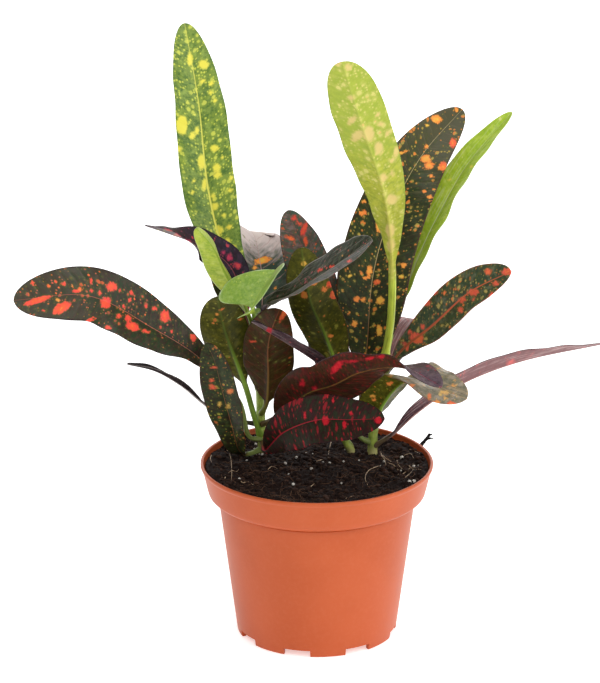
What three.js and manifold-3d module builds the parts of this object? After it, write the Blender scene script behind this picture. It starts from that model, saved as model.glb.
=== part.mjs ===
// A croton in its 12 cm nursery pot: the pot, its soil, three cuttings' stems and one solid a leaf.
// Millimetres, +Z up, the origin on the pot's axis at the floor, the camera's side at -Y.
import * as THREE from 'three';
import Module from 'manifold-3d';
import { mergeVertices } from 'three/addons/utils/BufferGeometryUtils.js';

const manifoldLibrary = await Module();
manifoldLibrary.setup();
const { Manifold, Mesh } = manifoldLibrary;

// Driving dimensions
const rimRadius = 60;
const potHeight = 92;
const footRadius = 41.4;
const wallTopRadius = 51;
const bandFootHeight = 74;
const wallThickness = 1.4;
const clearance = 0.3;

// Shared makers
function point(list) {
  return new THREE.Vector3(list[0], list[1], list[2]);
}

function toManifold(geometry) {
  const bare = geometry.clone();
  bare.deleteAttribute('normal');
  bare.deleteAttribute('uv');
  const welded = mergeVertices(bare, 1e-4);
  const mesh = new Mesh({
    numProp: 3,
    vertProperties: new Float32Array(welded.attributes.position.array),
    triVerts: new Uint32Array(welded.index.array),
  });
  mesh.merge();
  return new Manifold(mesh);
}

function toGeometry(body) {
  const mesh = body.getMesh();
  const geometry = new THREE.BufferGeometry();
  geometry.setAttribute('position', new THREE.BufferAttribute(mesh.vertProperties, 3));
  geometry.setIndex(new THREE.BufferAttribute(mesh.triVerts, 1));
  return geometry;
}

function namedMesh(name, geometry, colour, roughness) {
  const material = new THREE.MeshStandardMaterial({ color: colour, roughness });
  geometry.computeVertexNormals();
  const mesh = new THREE.Mesh(geometry, material);
  mesh.name = name;
  return mesh;
}

// Rings of points, each a closed loop of the same count, skinned and capped at both ends.
function loft(rings) {
  const count = rings[0].length;
  const positions = [];
  for (const ring of rings) {
    for (const corner of ring) {
      positions.push(corner.x, corner.y, corner.z);
    }
  }
  const index = [];
  for (let row = 0; row + 1 < rings.length; row += 1) {
    for (let column = 0; column < count; column += 1) {
      const next = (column + 1) % count;
      const a = row * count + column;
      const b = row * count + next;
      // The lower half of a ring takes the other diagonal, which lies under the upper half's.
      if (column < count / 2) {
        index.push(a, b, b + count, a, b + count, a + count);
      } else {
        index.push(a, b, a + count, b, b + count, a + count);
      }
    }
  }
  const last = (rings.length - 1) * count;
  for (let step = 1; step <= count / 2 - 1; step += 1) {
    const near = step - 1;
    const far = count - step;
    index.push(near, far, step);
    index.push(last + near, last + step, last + far);
    if (step < count / 2) {
      index.push(step, far, far - 1);
      index.push(last + step, last + far - 1, last + far);
    }
  }
  const geometry = new THREE.BufferGeometry();
  geometry.setAttribute('position', new THREE.Float32BufferAttribute(positions, 3));
  geometry.setIndex(index);
  return geometry;
}

function lathe(profile, segments) {
  const points = profile.map(([radius, height]) => new THREE.Vector2(radius, height));
  const geometry = new THREE.LatheGeometry(points, segments);
  geometry.rotateX(Math.PI / 2);
  return geometry;
}

// Pot: terracotta-coloured moulded plastic, a stepped band under the rim, a notched foot ring
const potSegments = 56;
const floorHeight = 4.2;
const notchCount = 8;
const notchWidth = 14;
const notchHeight = 3.6;
const notchTurn = -14.5;
const drainHoleRadius = 4;
const drainHoleCircle = 27;

function wallRadius(height) {
  return footRadius + (wallTopRadius - footRadius) * height / bandFootHeight;
}

function potBody() {
  const inner = (height) => wallRadius(height) - wallThickness;
  const footInner = footRadius - 2.6;
  const profile = [
    [0, floorHeight],
    [footInner, floorHeight],
    [footInner, 0],
    [footRadius - 0.4, 0],
    [footRadius, 0.4],
    [wallTopRadius, bandFootHeight],
    [wallTopRadius + 2.6, bandFootHeight + 0.2],
    [wallTopRadius + 4.4, bandFootHeight + 1.4],
    [wallTopRadius + 5.5, bandFootHeight + 4],
    [rimRadius - 0.6, potHeight - 1.6],
    [rimRadius, potHeight - 1],
    [rimRadius - 0.1, potHeight - 0.3],
    [rimRadius - 0.8, potHeight],
    [rimRadius - 1.7, potHeight - 0.3],
    [rimRadius - 2, potHeight - 1.2],
    [wallTopRadius + 4, bandFootHeight + 4.4],
    [wallTopRadius + 3, bandFootHeight + 2.4],
    [wallTopRadius - 0.6, bandFootHeight + 1.8],
    [inner(bandFootHeight), bandFootHeight],
    [inner(floorHeight + 4), floorHeight + 4],
    [inner(floorHeight) - 2, floorHeight + 1.6],
    [0, floorHeight + 1.6],
  ];
  let body = toManifold(lathe(profile, potSegments));
  for (let step = 0; step < notchCount; step += 1) {
    const angle = notchTurn + step * 360 / notchCount;
    const notch = new THREE.BoxGeometry(notchWidth, 12, notchHeight * 2);
    notch.translate(0, -footRadius, 0);
    notch.rotateZ(THREE.MathUtils.degToRad(angle));
    body = body.subtract(toManifold(notch));
  }
  for (let step = 0; step < 6; step += 1) {
    const hole = new THREE.CylinderGeometry(drainHoleRadius, drainHoleRadius, 8, 20);
    hole.rotateX(Math.PI / 2);
    hole.translate(0, -drainHoleCircle, floorHeight);
    hole.rotateZ(THREE.MathUtils.degToRad(step * 60));
    body = body.subtract(toManifold(hole));
  }
  return body;
}

// Stems: three rooted cuttings, each a green tapering stem that stands in its hole in the soil
const stems = {
  left: {
    path: [[-28, 22, 68], [-28, 22, 89], [-29, 23, 106], [-30, 24, 134], [-31, 23, 160]],
    baseRadius: 2.6,
    tipRadius: 1.7,
  },
  middle: {
    path: [[20, 22, 68], [18, 22, 89], [14, 21, 98], [12, 21, 109], [12, 22, 121]],
    baseRadius: 2.4,
    tipRadius: 1.8,
  },
  right: {
    path: [[29, 21, 68], [29, 21, 89], [30, 22, 107], [33, 23, 124], [35, 22, 142]],
    baseRadius: 2.8,
    tipRadius: 1.9,
  },
};
const stemSides = 12;
const stemStations = 9;

function stemBody(stem, grown) {
  const curve = new THREE.CatmullRomCurve3(stem.path.map(point), false, 'centripetal');
  const rings = [];
  for (let row = 0; row <= stemStations; row += 1) {
    const along = row / stemStations;
    const centre = curve.getPointAt(along);
    const direction = curve.getTangentAt(along);
    const side = new THREE.Vector3(1, 0, 0).addScaledVector(direction, -direction.x).normalize();
    const front = new THREE.Vector3().crossVectors(direction, side);
    const radius = THREE.MathUtils.lerp(stem.baseRadius, stem.tipRadius, along) + grown;
    if (grown > 0 && row === 0) {
      centre.addScaledVector(direction, -grown);
    }
    if (grown > 0 && row === stemStations) {
      centre.addScaledVector(direction, grown);
    }
    const ring = [];
    for (let column = 0; column < stemSides; column += 1) {
      const angle = column / stemSides * Math.PI * 2;
      const corner = centre.clone();
      corner.addScaledVector(side, radius * Math.cos(angle));
      corner.addScaledVector(front, radius * Math.sin(angle));
      ring.push(corner);
    }
    rings.push(ring);
  }
  return toManifold(loft(rings));
}

// Soil: one dark mass from the pot's floor to its surface, which is mounded among the stems
const soilSegments = 48;
const soilRimHeight = 84.5;
const soilMound = 4.5;
const soilBank = 3;

function soilHeight(x, y) {
  const radius = Math.hypot(x, y) / 56;
  const dome = soilRimHeight + soilMound * (1 - radius * radius);
  const bank = soilBank * THREE.MathUtils.smoothstep(radius * 56, 44, 54);
  const lumps = Math.sin(x * 0.31 + 1.3) * Math.cos(y * 0.27 - 0.4);
  const crumbs = Math.sin(x * 0.83 - y * 0.41) * Math.cos(y * 0.9 + x * 0.22);
  return dome + bank + 0.8 * lumps + 0.5 * crumbs;
}

function soilBody() {
  const bottom = floorHeight + 1.6 + clearance;
  const wallGap = wallThickness + clearance;
  const edge = [
    [wallRadius(bottom) - wallGap - 2.6, bottom],
    [wallRadius(bottom + 3) - wallGap, bottom + 3],
    [wallRadius(bandFootHeight) - wallGap, bandFootHeight],
    [wallTopRadius - 0.6 - clearance, bandFootHeight + 2.2],
    [wallTopRadius + 2.8 - clearance, bandFootHeight + 2.8],
    [wallTopRadius + 3.7 - clearance, bandFootHeight + 4.6],
  ];
  const topRadii = [56.2, 50, 42, 33, 24, 15, 7];
  const positions = [];
  const index = [];
  for (const [radius, height] of edge) {
    for (let column = 0; column < soilSegments; column += 1) {
      const angle = column / soilSegments * Math.PI * 2;
      positions.push(radius * Math.cos(angle), radius * Math.sin(angle), height);
    }
  }
  for (const radius of topRadii) {
    for (let column = 0; column < soilSegments; column += 1) {
      const angle = column / soilSegments * Math.PI * 2;
      const x = radius * Math.cos(angle);
      const y = radius * Math.sin(angle);
      positions.push(x, y, soilHeight(x, y));
    }
  }
  const rows = edge.length + topRadii.length;
  for (let row = 0; row + 1 < rows; row += 1) {
    for (let column = 0; column < soilSegments; column += 1) {
      const a = row * soilSegments + column;
      const b = row * soilSegments + (column + 1) % soilSegments;
      index.push(a, b, b + soilSegments, a, b + soilSegments, a + soilSegments);
    }
  }
  const bottomCentre = positions.length / 3;
  positions.push(0, 0, bottom, 0, 0, soilHeight(0, 0));
  for (let column = 0; column < soilSegments; column += 1) {
    const next = (column + 1) % soilSegments;
    const topRow = (rows - 1) * soilSegments;
    index.push(bottomCentre, next, column);
    index.push(bottomCentre + 1, topRow + column, topRow + next);
  }
  const geometry = new THREE.BufferGeometry();
  geometry.setAttribute('position', new THREE.Float32BufferAttribute(positions, 3));
  geometry.setIndex(index);
  let body = toManifold(geometry);
  for (const stem of Object.values(stems)) {
    body = body.subtract(stemBody(stem, clearance));
  }
  return body;
}

// Leaves: each one solid from its stalk's end at the stem to the tip of its blade. The rib's points
// run along the midrib, face is where the upper side looks at even stages of the blade, fold is how
// far each half rises from the rib and edge how far the margin does, both in degrees.
const leaves = [
  {
    name: 'leaf_tall_speckled', stem: 'left', colour: 0x5f8a32, width: 29, stalk: 14,
    rib: [[-31, 24, 158], [-35, 29, 172], [-49, 36, 198], [-56, 41, 226], [-61, 52, 270],
      [-68, 64, 308]],
    face: [[0.3, -0.9, 0.3]],
    fold: [25, 18, 10], edge: [10, 0, 4], shape: [0.45, 0.8, 2.6],
  },
  {
    name: 'leaf_small_folded', stem: 'left', colour: 0xa0be3c, width: 18, stalk: 12,
    rib: [[-31, 22, 152], [-38, 17, 173], [-46.5, 9, 190], [-53, 0, 207.5], [-61, -3, 218.5]],
    face: [[-0.64, 0.76, 0]],
    fold: [60, 55, 45], edge: [60, 55, 45], shape: [0.5, 1.1, 2],
  },
  {
    name: 'leaf_small_curled', stem: 'left', colour: 0x8cb450, width: 48, stalk: 42,
    rib: [[-31, 22, 159], [-30, 8, 171], [-33, -16, 179.5], [-29, -9, 186], [-21, 3, 194.5]],
    face: [[-0.6, -0.1, 0.8]],
    fold: [24], edge: [16], shape: [0.4, 0.65, 2.4],
  },
  {
    name: 'leaf_dark_folded', stem: 'left', colour: 0x2d262c, width: 18, stalk: 14,
    rib: [[-31, 23, 146], [-36, 24, 160], [-44, 25, 188.5], [-60, 17, 203.5], [-73, 4, 213],
      [-86, -10, 222]],
    face: [[-0.1, -0.9, 0.3], [-0.1, -0.7, 0.6], [0, 0.15, 1]],
    fold: [14, 16], edge: [10, 10], shape: [0.4, 0.9, 2],
  },
  {
    name: 'leaf_long_left', stem: 'left', colour: 0x2f3d2c, width: 30, stalk: 38,
    rib: [[-28, 22, 96], [-35, 15, 100], [-40, 12, 120], [-60, -2, 149], [-83, -14, 169],
      [-114, -32, 192], [-150, -48, 195]],
    face: [[-0.2, -0.6, 0.75], [-0.15, -0.75, 0.6], [-0.1, -0.9, 0.35]],
    fold: [50, 22, 12], edge: [40, 16, 6], shape: [0.6, 1.5, 2.8],
  },
  {
    name: 'leaf_narrow_left', stem: 'left', colour: 0x2a2f2c, width: 13, stalk: 32,
    rib: [[-29, 23, 104], [-43, 24, 106], [-58, 21, 116], [-70, 16, 128], [-83, 10, 138],
      [-97, 3, 144]],
    face: [[0.3, 0.25, 0.95]],
    fold: [20, 10], edge: [20, 10], shape: [0.55, 1.1, 2.4],
  },
  {
    name: 'leaf_olive_left', stem: 'left', colour: 0x4a5020, width: 25, stalk: 32,
    rib: [[-29, 22, 97], [-33, 18, 112], [-36.6, 17, 126], [-42.2, 14, 143.5], [-47.3, 12, 159.3],
      [-51, 10.5, 178]],
    face: [[-0.2, 0.95, 0.3]],
    fold: [14, 8], edge: [14, 8], shape: [0.55, 1, 2.6],
  },
  {
    name: 'leaf_olive_centre', stem: 'left', colour: 0x4c4c24, width: 27, stalk: 12,
    rib: [[-29, 22, 110], [-26, 14, 119], [-25, 9, 136], [-25, 5, 153], [-23, 3, 163],
      [-19, 2, 174]],
    face: [[0.1, 0.95, 0.3]],
    fold: [16, 10], edge: [14, 8], shape: [0.45, 0.9, 2.4],
  },
  {
    name: 'leaf_front_left', stem: 'left', colour: 0x2a3c28, width: 21, stalk: 16,
    rib: [[-28, 22, 91], [-36, 13, 91], [-40, 5, 96], [-44, -3, 114], [-49, -9, 137], [-52, -12, 151],
      [-56, -13, 161]],
    face: [[-0.35, -0.85, 0.3]],
    fold: [30, 20], edge: [20, 10], shape: [0.6, 0.6, 2],
  },
  {
    name: 'leaf_sheen_centre', stem: 'left', colour: 0x303533, width: 28, stalk: 24,
    rib: [[-31, 23, 140], [-28, 13, 158], [-26, 7, 174], [-15, -5, 183], [-4, -14, 193],
      [12, -26, 208], [27, -36, 222]],
    face: [[-0.45, -0.15, 0.88], [-0.45, -0.18, 0.86], [-0.42, -0.38, 0.8]],
    fold: [24, 12], edge: [20, 10], shape: [0.62, 1.3, 1.6],
  },
  {
    name: 'leaf_narrow_purple', stem: 'middle', colour: 0x33202c, width: 18, stalk: 26,
    rib: [[13, 21, 103], [14, 12, 116], [12, 3, 134], [0, -2, 147], [-14, -9, 159], [-24, -14, 167],
      [-33, -18, 174]],
    face: [[0.5, 0.3, 0.8]],
    fold: [30, 20], edge: [30, 20], shape: [0.5, 1.1, 2.2],
  },
  {
    name: 'leaf_back_arching', stem: 'left', colour: 0x3a4034, width: 36, stalk: 20,
    rib: [[-31, 24, 143], [-28, 38, 173], [-30, 48, 187.5], [-32.6, 54.5, 196.5], [-35, 59, 198],
      [-34, 64.5, 190]],
    face: [[0, -0.9, 0.3], [0.1, -0.8, 0.6], [0.32, 0, 1], [0.3, 0.6, 0.75]],
    fold: [12], edge: [8], shape: [0.5, 1, 2.2],
  },
  {
    name: 'leaf_red_patch', stem: 'middle', colour: 0x2c3428, width: 24, stalk: 22,
    rib: [[12, 22, 116], [7, 30, 145], [1, 35, 173], [-8, 38, 197], [-15, 40, 215]],
    face: [[-0.2, -0.9, 0.3]],
    fold: [14], edge: [10], shape: [0.6, 1.2, 1.8],
  },
  {
    name: 'leaf_olive_middle', stem: 'middle', colour: 0x4a5820, width: 26, stalk: 16,
    rib: [[12, 22, 112], [10, 17, 137], [4, 13, 157], [-3, 12, 174], [-6, 12, 189], [-8, 14, 203]],
    face: [[0.1, 0.9, 0.4]],
    fold: [14], edge: [10], shape: [0.5, 1, 2.4],
  },
  {
    name: 'leaf_yellow_green', stem: 'right', colour: 0xa5b946, width: 28, stalk: 50,
    rib: [[35, 22, 139], [38, 17, 164], [38, 12, 199], [34, 2, 234], [22, -8, 274], [12, -16, 308]],
    face: [[0.15, 0.95, 0.2]],
    fold: [16, 10], edge: [14, 8], shape: [0.7, 1, 3],
  },
  {
    name: 'leaf_big_dark', stem: 'right', colour: 0x2c4026, width: 38, stalk: 40,
    rib: [[29, 21, 94], [22, 17, 100], [23, 22, 118], [26, 26, 146], [29, 31, 183], [38, 39, 213],
      [54, 48, 242], [75, 58, 264]],
    face: [[0.1, -0.9, 0.4]],
    fold: [16, 10], edge: [10, 4], shape: [0.34, 0.9, 2.2],
  },
  {
    name: 'leaf_bright_back', stem: 'right', colour: 0x82a532, width: 19, stalk: 24,
    rib: [[35, 22, 133], [38, 32, 147], [43, 37, 163], [54, 43, 192], [63, 48, 210], [78, 56, 235],
      [101, 63, 261]],
    face: [[-0.6, -0.6, 0.5]],
    fold: [30, 26, 20], edge: [26, 20], shape: [0.5, 1.1, 1.8],
  },
  {
    name: 'leaf_right_spotted', stem: 'right', colour: 0x2e3f2a, width: 25, stalk: 14,
    rib: [[33, 22, 128], [44, 10, 149], [59, 2, 165], [77, -8, 186], [97, -20, 201]],
    face: [[-0.4, -0.65, 0.65]],
    fold: [22, 14], edge: [16, 8], shape: [0.55, 1, 2.2],
  },
  {
    name: 'leaf_long_right', stem: 'right', colour: 0x6e4e58, width: 18, stalk: 14,
    rib: [[29, 21, 92], [39, 16, 101], [50, 10, 114], [62, 6, 125], [79, 6, 135], [105, 14, 142],
      [150, 36, 144]],
    face: [[0, 0, 1], [-0.3, 0.6, 0.75], [-0.2, 0.35, 0.9]],
    fold: [45, 25, 12], edge: [40, 20, 10], shape: [0.4, 0.9, 1.8],
  },
  {
    name: 'leaf_red_arching', stem: 'left', colour: 0x5c2028, width: 32, stalk: 16,
    rib: [[-29, 22, 104], [-18, 6, 116], [-5, -10, 133], [8, -21, 141.5], [22, -37, 154],
      [42, -51, 161], [61, -66, 156]],
    face: [[-0.1, 0.95, 0.25], [-0.1, 0.95, 0.25], [-0.05, 0.9, 0.35], [0.1, 0.5, 0.85],
      [0.2, -0.5, 0.85]],
    fold: [4, 6, 20, 24], edge: [2, 4, 14, 14], shape: [0.35, 0.8, 2],
  },
  {
    name: 'leaf_red_front', stem: 'left', colour: 0x37222a, width: 26, stalk: 12,
    rib: [[-28, 22, 95], [-27, 5, 96], [-17, -14, 113], [0, -34, 127], [16, -50, 133],
      [33, -65, 139]],
    face: [[0, -0.9, 0.45]],
    fold: [20, 12], edge: [14, 8], shape: [0.5, 1.2, 2.2],
  },
  {
    name: 'leaf_olive_arching', stem: 'right', colour: 0x50542c, width: 30, stalk: 8,
    rib: [[30, 22, 107], [30, 6, 112], [34, -2, 124], [40, -11, 136], [48, -26, 146],
      [60, -42, 146.8], [74, -54, 145.5]],
    face: [[-0.45, 0.85, 0.2], [-0.45, 0.85, 0.3], [0.2, -0.4, 0.9], [0.25, -0.75, 0.6]],
    fold: [36, 34, 10], edge: [16, 12, 4], shape: [0.45, 0.45, 2.4],
  },
  {
    name: 'leaf_back_left', stem: 'left', colour: 0x2e3830, width: 22, stalk: 12,
    rib: [[-30, 23, 122], [-36, 42, 134], [-44, 56, 137], [-48, 65, 130]],
    face: [[0, -0.5, 0.85], [0, 0.1, 1], [0, 0.5, 0.85]],
    fold: [16, 10], edge: [10, 6], shape: [0.55, 1, 2.2],
  },
  {
    name: 'leaf_back_high_left', stem: 'left', colour: 0x33402e, width: 18, stalk: 20,
    rib: [[-30, 24, 134], [-44, 44, 168], [-52, 57, 184], [-56, 65, 186]],
    face: [[0.2, -0.7, 0.6], [0, -0.2, 1]],
    fold: [18, 10], edge: [12, 6], shape: [0.55, 1, 2.2],
  },
  {
    name: 'leaf_back_middle', stem: 'middle', colour: 0x2e3a2e, width: 22, stalk: 12,
    rib: [[12, 22, 110], [8, 42, 130], [4, 56, 139], [0, 65, 136]],
    face: [[0, -0.5, 0.85], [0, 0.1, 1], [0, 0.4, 0.9]],
    fold: [16, 10], edge: [10, 6], shape: [0.55, 1, 2.2],
  },
  {
    name: 'leaf_back_right', stem: 'right', colour: 0x46283c, width: 22, stalk: 12,
    rib: [[33, 23, 118], [41, 40, 141], [50, 56, 150], [56, 65, 146]],
    face: [[0, -0.5, 0.85], [0, 0, 1], [0, 0.4, 0.9]],
    fold: [16, 10], edge: [10, 6], shape: [0.55, 1, 2.2],
  },
  {
    name: 'leaf_back_high_right', stem: 'right', colour: 0x34422e, width: 20, stalk: 18,
    rib: [[34, 23, 124], [33, 42, 159], [36, 56, 184], [39, 65, 192]],
    face: [[0, -0.7, 0.6], [0, -0.2, 1]],
    fold: [18, 10], edge: [12, 6], shape: [0.55, 1, 2.2],
  },
];
const bladeStations = 14;
const crossStations = [-1, -0.55, 0, 0.55, 1];
const stalkRadius = 1.25;
const faceOffset = 0.35;
const undersideOffsets = [0.35, 0.5, 1.1, 0.5, 0.35];
const tipHalfWidth = 0.9;

function staged(stages, along) {
  const place = along * (stages.length - 1);
  const first = Math.min(Math.floor(place), Math.max(stages.length - 2, 0));
  const second = Math.min(first + 1, stages.length - 1);
  const mix = THREE.MathUtils.smoothstep(place - first, 0, 1);
  return [stages[first], stages[second], mix];
}

function stagedNumber(stages, along) {
  const [first, second, mix] = staged(stages, along);
  return THREE.MathUtils.lerp(first, second, mix);
}

function stagedDirection(stages, along) {
  const [first, second, mix] = staged(stages, along);
  return point(first).lerp(point(second), mix).normalize();
}

// The share of the full half width at a place on the blade: a sine to the widest place, then an
// ellipse-like round end.
function outline([widest, taper, roundness], along) {
  if (along < widest) {
    return Math.sin(Math.PI / 2 * along / widest) ** taper;
  }
  const beyond = (along - widest) / (1 - widest);
  return Math.sqrt(Math.max(0, 1 - beyond ** roundness));
}

// The blade's turned frame at one place: its centre, the way across it and where its upper side looks.
function bladeFrame(leaf, curve, length, distance) {
  const share = distance / length;
  const centre = curve.getPointAt(share);
  const direction = curve.getTangentAt(share);
  const along = THREE.MathUtils.clamp((distance - leaf.stalk) / (length - leaf.stalk), 0, 1);
  const face = stagedDirection(leaf.face, along);
  face.addScaledVector(direction, -face.dot(direction)).normalize();
  const across = new THREE.Vector3().crossVectors(direction, face);
  return { centre, across, face, along };
}

function leafRing(leaf, frame, distance) {
  const halfWidth = Math.max(
    leaf.width / 2 * outline(leaf.shape, frame.along),
    THREE.MathUtils.lerp(stalkRadius, tipHalfWidth, frame.along),
  );
  const fold = THREE.MathUtils.degToRad(stagedNumber(leaf.fold, frame.along));
  const edge = THREE.MathUtils.degToRad(stagedNumber(leaf.edge, frame.along) + 0.01);
  const bend = edge - fold;
  const flat = THREE.MathUtils.smoothstep(distance, leaf.stalk - 4, leaf.stalk + 7);
  const upper = [];
  const lower = [];
  crossStations.forEach((station, column) => {
    const size = Math.abs(station);
    const slope = fold + bend * size;
    const spread = halfWidth * (Math.sin(slope) - Math.sin(fold)) / bend * Math.sign(station);
    const lift = halfWidth * (Math.cos(fold) - Math.cos(slope)) / bend;
    const middle = frame.centre.clone();
    middle.addScaledVector(frame.across, spread).addScaledVector(frame.face, lift);
    const normal = frame.face.clone().multiplyScalar(station === 0 ? 1 : Math.cos(slope));
    normal.addScaledVector(frame.across, -Math.sign(station) * Math.sin(slope));
    const angle = THREE.MathUtils.degToRad(162 - 36 * column);
    const round = (sign) => frame.centre.clone()
      .addScaledVector(frame.across, stalkRadius * Math.cos(angle))
      .addScaledVector(frame.face, sign * stalkRadius * Math.sin(angle));
    const top = middle.clone().addScaledVector(normal, faceOffset);
    const under = middle.clone().addScaledVector(normal, -undersideOffsets[column]);
    upper.push(round(1).lerp(top, flat));
    lower.push(round(-1).lerp(under, flat));
  });
  return upper.concat(lower.reverse());
}

function leafBody(leaf) {
  const curve = new THREE.CatmullRomCurve3(leaf.rib.map(point), false, 'centripetal');
  curve.arcLengthDivisions = 400;
  const length = curve.getLength();
  const stalkStations = Math.max(2, Math.round(leaf.stalk / 9));
  const distances = [];
  for (let row = 0; row < stalkStations; row += 1) {
    distances.push(row / stalkStations * leaf.stalk);
  }
  for (let row = 0; row <= bladeStations; row += 1) {
    const share = 1 - (1 - row / bladeStations) ** 1.5;
    distances.push(leaf.stalk + (length - leaf.stalk) * share);
  }
  const rings = distances.map((distance) => (
    leafRing(leaf, bladeFrame(leaf, curve, length, distance), distance)
  ));
  return toManifold(loft(rings));
}

// What the stem cuts off a leaf's end behind it is left out.
function largestPiece(body) {
  const pieces = body.decompose();
  return pieces.reduce((best, piece) => (piece.volume() > best.volume() ? piece : best));
}

// Assembly
const plant = new THREE.Group();
plant.name = 'potted_croton';
plant.add(namedMesh('pot', toGeometry(potBody()), 0xd87a56, 0.45));
plant.add(namedMesh('soil', toGeometry(soilBody()), 0x1e1614, 0.95));
const seats = {};
for (const [name, stem] of Object.entries(stems)) {
  seats[name] = stemBody(stem, clearance);
  plant.add(namedMesh(`stem_${name}`, toGeometry(stemBody(stem, 0)), 0x6e9632, 0.6));
}
for (const leaf of leaves) {
  const body = largestPiece(leafBody(leaf).subtract(seats[leaf.stem]));
  plant.add(namedMesh(leaf.name, toGeometry(body), leaf.colour, 0.4));
}

export default plant;
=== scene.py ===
# A croton in its nursery pot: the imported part's pot, soil, stems and leaves, each remade at its own
# place with its fine form and finish. Sizes are millimetres until a mesh is made, which is in metres.
import math
import random

import bmesh
import bpy
import numpy as np
from mathutils import Matrix, Vector, noise


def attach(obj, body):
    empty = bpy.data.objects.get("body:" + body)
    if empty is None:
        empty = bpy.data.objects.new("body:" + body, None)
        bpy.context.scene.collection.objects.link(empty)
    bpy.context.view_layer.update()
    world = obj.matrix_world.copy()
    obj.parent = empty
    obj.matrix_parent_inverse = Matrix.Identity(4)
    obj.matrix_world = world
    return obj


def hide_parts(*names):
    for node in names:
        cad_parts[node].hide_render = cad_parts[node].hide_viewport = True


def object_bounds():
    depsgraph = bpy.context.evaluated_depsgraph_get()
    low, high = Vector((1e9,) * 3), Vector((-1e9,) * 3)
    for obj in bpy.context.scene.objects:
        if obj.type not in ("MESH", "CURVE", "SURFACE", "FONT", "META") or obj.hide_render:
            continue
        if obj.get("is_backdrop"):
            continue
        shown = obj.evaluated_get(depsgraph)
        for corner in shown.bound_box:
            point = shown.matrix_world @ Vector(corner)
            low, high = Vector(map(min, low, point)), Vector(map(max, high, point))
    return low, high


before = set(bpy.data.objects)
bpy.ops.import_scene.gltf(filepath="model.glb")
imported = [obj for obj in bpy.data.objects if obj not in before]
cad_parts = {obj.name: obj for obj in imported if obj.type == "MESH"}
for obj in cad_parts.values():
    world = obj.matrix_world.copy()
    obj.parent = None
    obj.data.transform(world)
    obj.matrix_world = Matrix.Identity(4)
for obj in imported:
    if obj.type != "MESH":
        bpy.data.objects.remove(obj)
cad_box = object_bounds()

# Camera: the photograph's own view. Its height, distance and lens were fitted to the ellipses of
# the pot's rim, band and foot, taken as the circles of a 12 cm pot.
photo_width = 600
photo_height = 683
focal_pixels = 3531
camera_distance = 1800
camera_pitch = math.radians(18.8)
camera_aim = np.array([-8.7, 0, 157.2])
camera_forward = np.array([0, math.cos(camera_pitch), -math.sin(camera_pitch)])
camera_up = np.array([0, math.sin(camera_pitch), math.cos(camera_pitch)])
camera_place = camera_aim - camera_forward * camera_distance


def placed(name, data):
    """A new object of the scene."""
    made = bpy.data.objects.new(name, data)
    bpy.context.scene.collection.objects.link(made)
    return made


camera_data = bpy.data.cameras.new("camera")
camera_data.sensor_width = 36
camera_data.lens = focal_pixels * camera_data.sensor_width / photo_height
camera_data.clip_end = 50
camera = placed("camera", camera_data)
camera.location = camera_place / 1000
camera.rotation_euler = (math.pi / 2 - camera_pitch, 0, 0)
bpy.context.scene.camera = camera


# Studio: a white sweep under a broad soft light from above, a large lamp at each side, one over the
# camera, a strip behind that puts a sheen on the leaves, and a dim surround. None is part of the object.
def soft_lamp(name, place, aim, size, watts):
    data = bpy.data.lights.new(name, "AREA")
    data.shape = "RECTANGLE"
    data.size = size[0]
    data.size_y = size[1]
    data.energy = watts
    lamp = placed(name, data)
    lamp.location = place
    lamp.rotation_euler = (Vector(aim) - Vector(place)).to_track_quat("-Z", "Y").to_euler()


soft_lamp("lamp_right", (1.3, -0.6, 0.8), (0, 0, 0.12), (1.1, 1.3), 12)
soft_lamp("lamp_left", (-1.4, -0.7, 0.9), (0, 0, 0.15), (0.8, 1), 2)
soft_lamp("lamp_front", (0, -1.7, 1.5), (0, 0, 0.15), (1.2, 0.8), 9)
soft_lamp("lamp_behind", (0, 1.3, 0.68), (0, 0, 0.2), (2.2, 0.6), 13)

sky_data = bpy.data.lights.new("light_above", "SUN")
sky_data.energy = 1.5
sky_data.angle = math.radians(110)
sky = placed("light_above", sky_data)
sky.rotation_euler = Vector((-0.1, 0.1, -1)).to_track_quat("-Z", "Y").to_euler()

surround = bpy.data.worlds.new("surround")
surround.use_nodes = True
surround_inputs = surround.node_tree.nodes["Background"].inputs
surround_inputs["Color"].default_value = (1, 1, 1, 1)
surround_inputs["Strength"].default_value = 0.15
bpy.context.scene.world = surround
bpy.context.scene.view_settings.view_transform = "Standard"


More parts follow.
